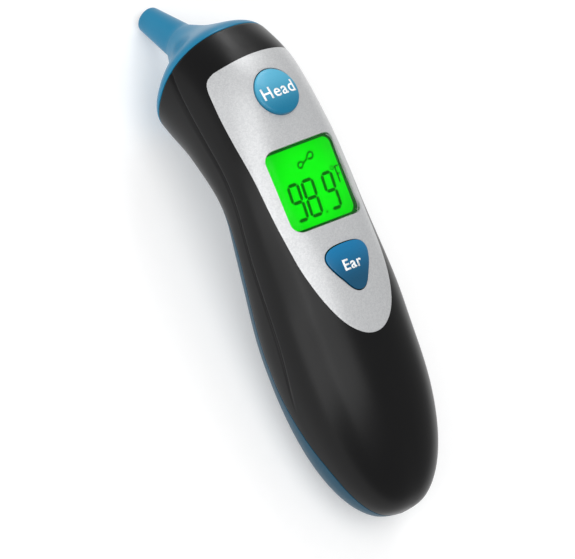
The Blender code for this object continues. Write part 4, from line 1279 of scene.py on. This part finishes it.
@dataclass
class Nozzle:
    """The blue probe: a flared skirt at the shell's rim that narrows into a bent, hollow tube."""

    finishes: Finishes
    bend: float = math.radians(47.5)
    leave: float = math.radians(36.0)
    base: tuple[float, float, float] = (0.0, 69.5, -22.6)
    length: float = 13.9
    tip_round: float = 1.1
    wall: float = 1.5
    gap: float = 0.3
    flare: tuple[tuple[float, float, float], ...] = (
        (0.0, 19.4, 17.1), (1.3, 19.1, 16.8), (2.7, 17.9, 15.9), (4.4, 15.6, 14.2), (6.8, 12.2, 11.6),
        (9.5, 9.1, 9.0), (12.5, 6.8, 6.9), (15.6, 5.2, 5.2),
    )
    tip_radius: float = 3.75
    # How far below the tip each section of the bore is, and how much wider than its throat
    bore_sections: tuple[tuple[float, float], ...] = ((0.25, 0.12), (0.6, 0.0), (6.0, 0.3))
    # How far inside the rim's outline each section of the spigot is, and how far along the probe
    spigot_sections: tuple[tuple[float, float], ...] = ((3.0, -3.3), (2.7, -3.3), (2.7, 0.0))

    def skirt(self, inset: float, steps: int) -> list[tuple[Vector, Vector, Vector, float]]:
        """Spreads the skirt's sections from the rim to the tube.

        Args:
            inset: How much smaller than the outside they are.
            steps: How many sections there are.

        Returns:
            The sections, each a middle, half width, half height and roundness.
        """
        rows = np.array(self.flare)
        along = np.linspace(0.0, rows[-1, 0], steps)
        widths = natural_spline(rows[:, 0], rows[:, 1:], along)
        rim = Vector((0.0, SURFACE.middle_y[-1], SURFACE.middle_z[-1]))
        up = Vector((0.0, SURFACE.up_y[-1], SURFACE.up_z[-1]))
        normal = Vector((0.0, up.z, -up.y)).normalized()
        end = Vector(self.base)
        chord = (end - rim).length
        start_way = Vector((0.0, math.cos(self.leave), -math.sin(self.leave))) * chord
        end_way = Vector((0.0, math.cos(self.bend), -math.sin(self.bend))) * chord
        turn_from = math.atan2(-normal.z, normal.y)
        sections = []
        for distance, (half_width, half_depth) in zip(along, widths):
            t = distance / rows[-1, 0]
            middle = (rim * (2 * t**3 - 3 * t**2 + 1) + start_way * (t**3 - 2 * t**2 + t)
                      + end * (3 * t**2 - 2 * t**3) + end_way * (t**3 - t**2))
            lean = turn_from + (self.bend - turn_from) * t
            upward = Vector((0.0, math.sin(lean), math.cos(lean)))
            round_off = float(SURFACE.roundness[-1]) * (1 - t) + 2.0 * t
            sections.append((middle + normal * self.gap, Vector((half_width - inset, 0, 0)),
                             upward * (half_depth - inset), round_off))
        return sections

    def ring(self, distance: float, radius: float) -> tuple[Vector, Vector, Vector, float]:
        """Returns a round section of the tube at a distance from its base."""
        axis = Vector((0.0, math.cos(self.bend), -math.sin(self.bend)))
        upward = Vector((0.0, math.sin(self.bend), math.cos(self.bend)))
        rim_up = Vector((0.0, SURFACE.up_z[-1], -SURFACE.up_y[-1])).normalized()
        return Vector(self.base) + rim_up * self.gap + axis * distance, Vector((radius, 0, 0)), upward * radius, 2.0

    def build(self) -> None:
        """Builds the hollow probe as one closed skin."""
        outer = self.skirt(0.0, 34)
        base_radius = self.flare[-1][1]
        straight = self.length - self.tip_round
        for share in np.linspace(0.0, 1.0, 12)[1:]:
            radius = base_radius + (self.tip_radius - base_radius) * share
            outer.append(self.ring(straight * share, radius))
        for sweep in np.linspace(0.0, math.pi / 2, 7)[1:]:
            outer.append(self.ring(straight + self.tip_round * math.sin(sweep),
                                   self.tip_radius - self.tip_round * (1 - math.cos(sweep))))
        bore = [self.ring(self.length - below, self.tip_radius - self.wall + wider)
                for below, wider in self.bore_sections]
        inner = list(reversed(self.skirt(self.wall, 12)))
        spigot = [self.shifted(self.skirt(inset, 2)[0], along) for inset, along in self.spigot_sections]
        bm = lofted(outer + bore + inner + spigot, 96, True)
        piece = finish_piece(bm, "probe_skin", self.finishes.blue, Body.CASING, ("probe_nozzle",))
        soften(piece, 0.15, 2, 60.0)

    def shifted(self, section: tuple[Vector, Vector, Vector, float],
                distance: float) -> tuple[Vector, Vector, Vector, float]:
        """Moves a section of the rim along the rim's own normal."""
        normal = Vector((0.0, SURFACE.up_z[-1], -SURFACE.up_y[-1])).normalized()
        return section[0] + normal * distance, *section[1:]


# ---------------------------------------------------------------- the studio


@dataclass
class Studio:
    """A pale floor, soft panels of light and the camera."""

    azimuth: float = math.radians(38.0)
    roll: float = math.radians(21.0)
    aim: tuple[float, float, float] = (-10.05, -1.3, 8.0)
    distance: float = 3000.0
    lens: float = 695.0
    room_light: float = 0.5
    floor_half_size: float = 2.5
    floor_drop: float = 0.0002
    # Each panel's name, its place and size in metres, and its power in watts
    panels: tuple[tuple[str, tuple[float, float, float], tuple[float, float], float], ...] = (
        ("overhead_panel", (-0.42, -0.1, 1.25), (0.9, 1.2), 8.0),
        ("left_panel", (-1.0, -0.1, 0.3), (0.4, 1.6), 5.6),
        ("head_panel", (0.5, 0.8, 0.8), (0.5, 0.5), 2.5),
        ("head_strip", (0.52, 0.9, 0.33), (0.14, 0.4), 1.2),
    )

    def build(self) -> None:
        """Builds the floor, the lights and the camera."""
        bpy.context.scene.view_settings.view_transform = "Standard"
        self.build_floor()
        self.build_lights()
        self.build_camera()

    def build_floor(self) -> None:
        """Lays the floor."""
        bm = bmesh.new()
        bmesh.ops.create_grid(bm, x_segments=2, y_segments=2, size=self.floor_half_size)
        bmesh.ops.translate(bm, verts=bm.verts, vec=(0, 0, -self.floor_drop))
        mesh = bpy.data.meshes.new("studio_floor")
        bm.to_mesh(mesh)
        bm.free()
        mesh.materials.append(PaintedFloor().build())
        floor = bpy.data.objects.new("studio_floor", mesh)
        bpy.context.scene.collection.objects.link(floor)

    def build_lights(self) -> None:
        """Hangs the soft panels and sets the room's light."""
        world = bpy.data.worlds.new("studio_room")
        bpy.context.scene.world = world
        world.use_nodes = True
        room = world.node_tree.nodes["Background"]
        room.inputs["Color"].default_value = (1.0, 1.0, 1.0, 1.0)
        room.inputs["Strength"].default_value = self.room_light
        for name, place, size, power in self.panels:
            light = bpy.data.lights.new(name, "AREA")
            light.shape = "RECTANGLE"
            light.size, light.size_y = size
            light.energy = power
            lamp = bpy.data.objects.new(name, light)
            lamp.location = place
            lamp.visible_camera = False
            lamp.rotation_euler = (-Vector(place)).to_track_quat("-Z", "Y").to_euler()
            bpy.context.scene.collection.objects.link(lamp)

    def build_camera(self) -> None:
        """Sets the camera up."""
        sideways = Vector((math.cos(self.azimuth), 0.0, math.sin(self.azimuth)))
        upward = Vector((0.0, 1.0, 0.0))
        back = Vector((-math.sin(self.azimuth), 0.0, math.cos(self.azimuth)))
        right = sideways * math.cos(self.roll) - upward * math.sin(self.roll)
        top = sideways * math.sin(self.roll) + upward * math.cos(self.roll)
        spot = sideways * self.aim[0] + upward * self.aim[1] + back * (self.aim[2] + self.distance)
        turn = Matrix.Rotation(REST_TILT, 3, "X")
        basis = Matrix((turn @ right, turn @ top, turn @ back)).transposed().to_4x4()
        camera = bpy.data.cameras.new("camera")
        camera.type = "PERSP"
        camera.sensor_width = 36.0
        camera.lens = self.lens
        holder = bpy.data.objects.new("camera", camera)
        holder.matrix_world = Matrix.Translation(LAY_DOWN @ spot) @ basis
        bpy.context.scene.collection.objects.link(holder)
        bpy.context.scene.camera = holder


def main() -> None:
    """Builds the thermometer's pieces in order, then the studio round it."""
    finishes = Finishes()
    finishes.dress_nodes()
    fascia = Fascia(finishes)
    ear = EarButton(finishes)
    casing = Casing(finishes)
    casing.build_front(fascia)
    casing.build_rear()
    casing.build_tub()
    casing.build_door()
    Nozzle(finishes).build()
    fascia.build(ear)
    Display(finishes, fascia).build()
    HeadButton(finishes, fascia).build()
    ear.build()
    Studio().build()


if __name__ == "__main__":
    main()
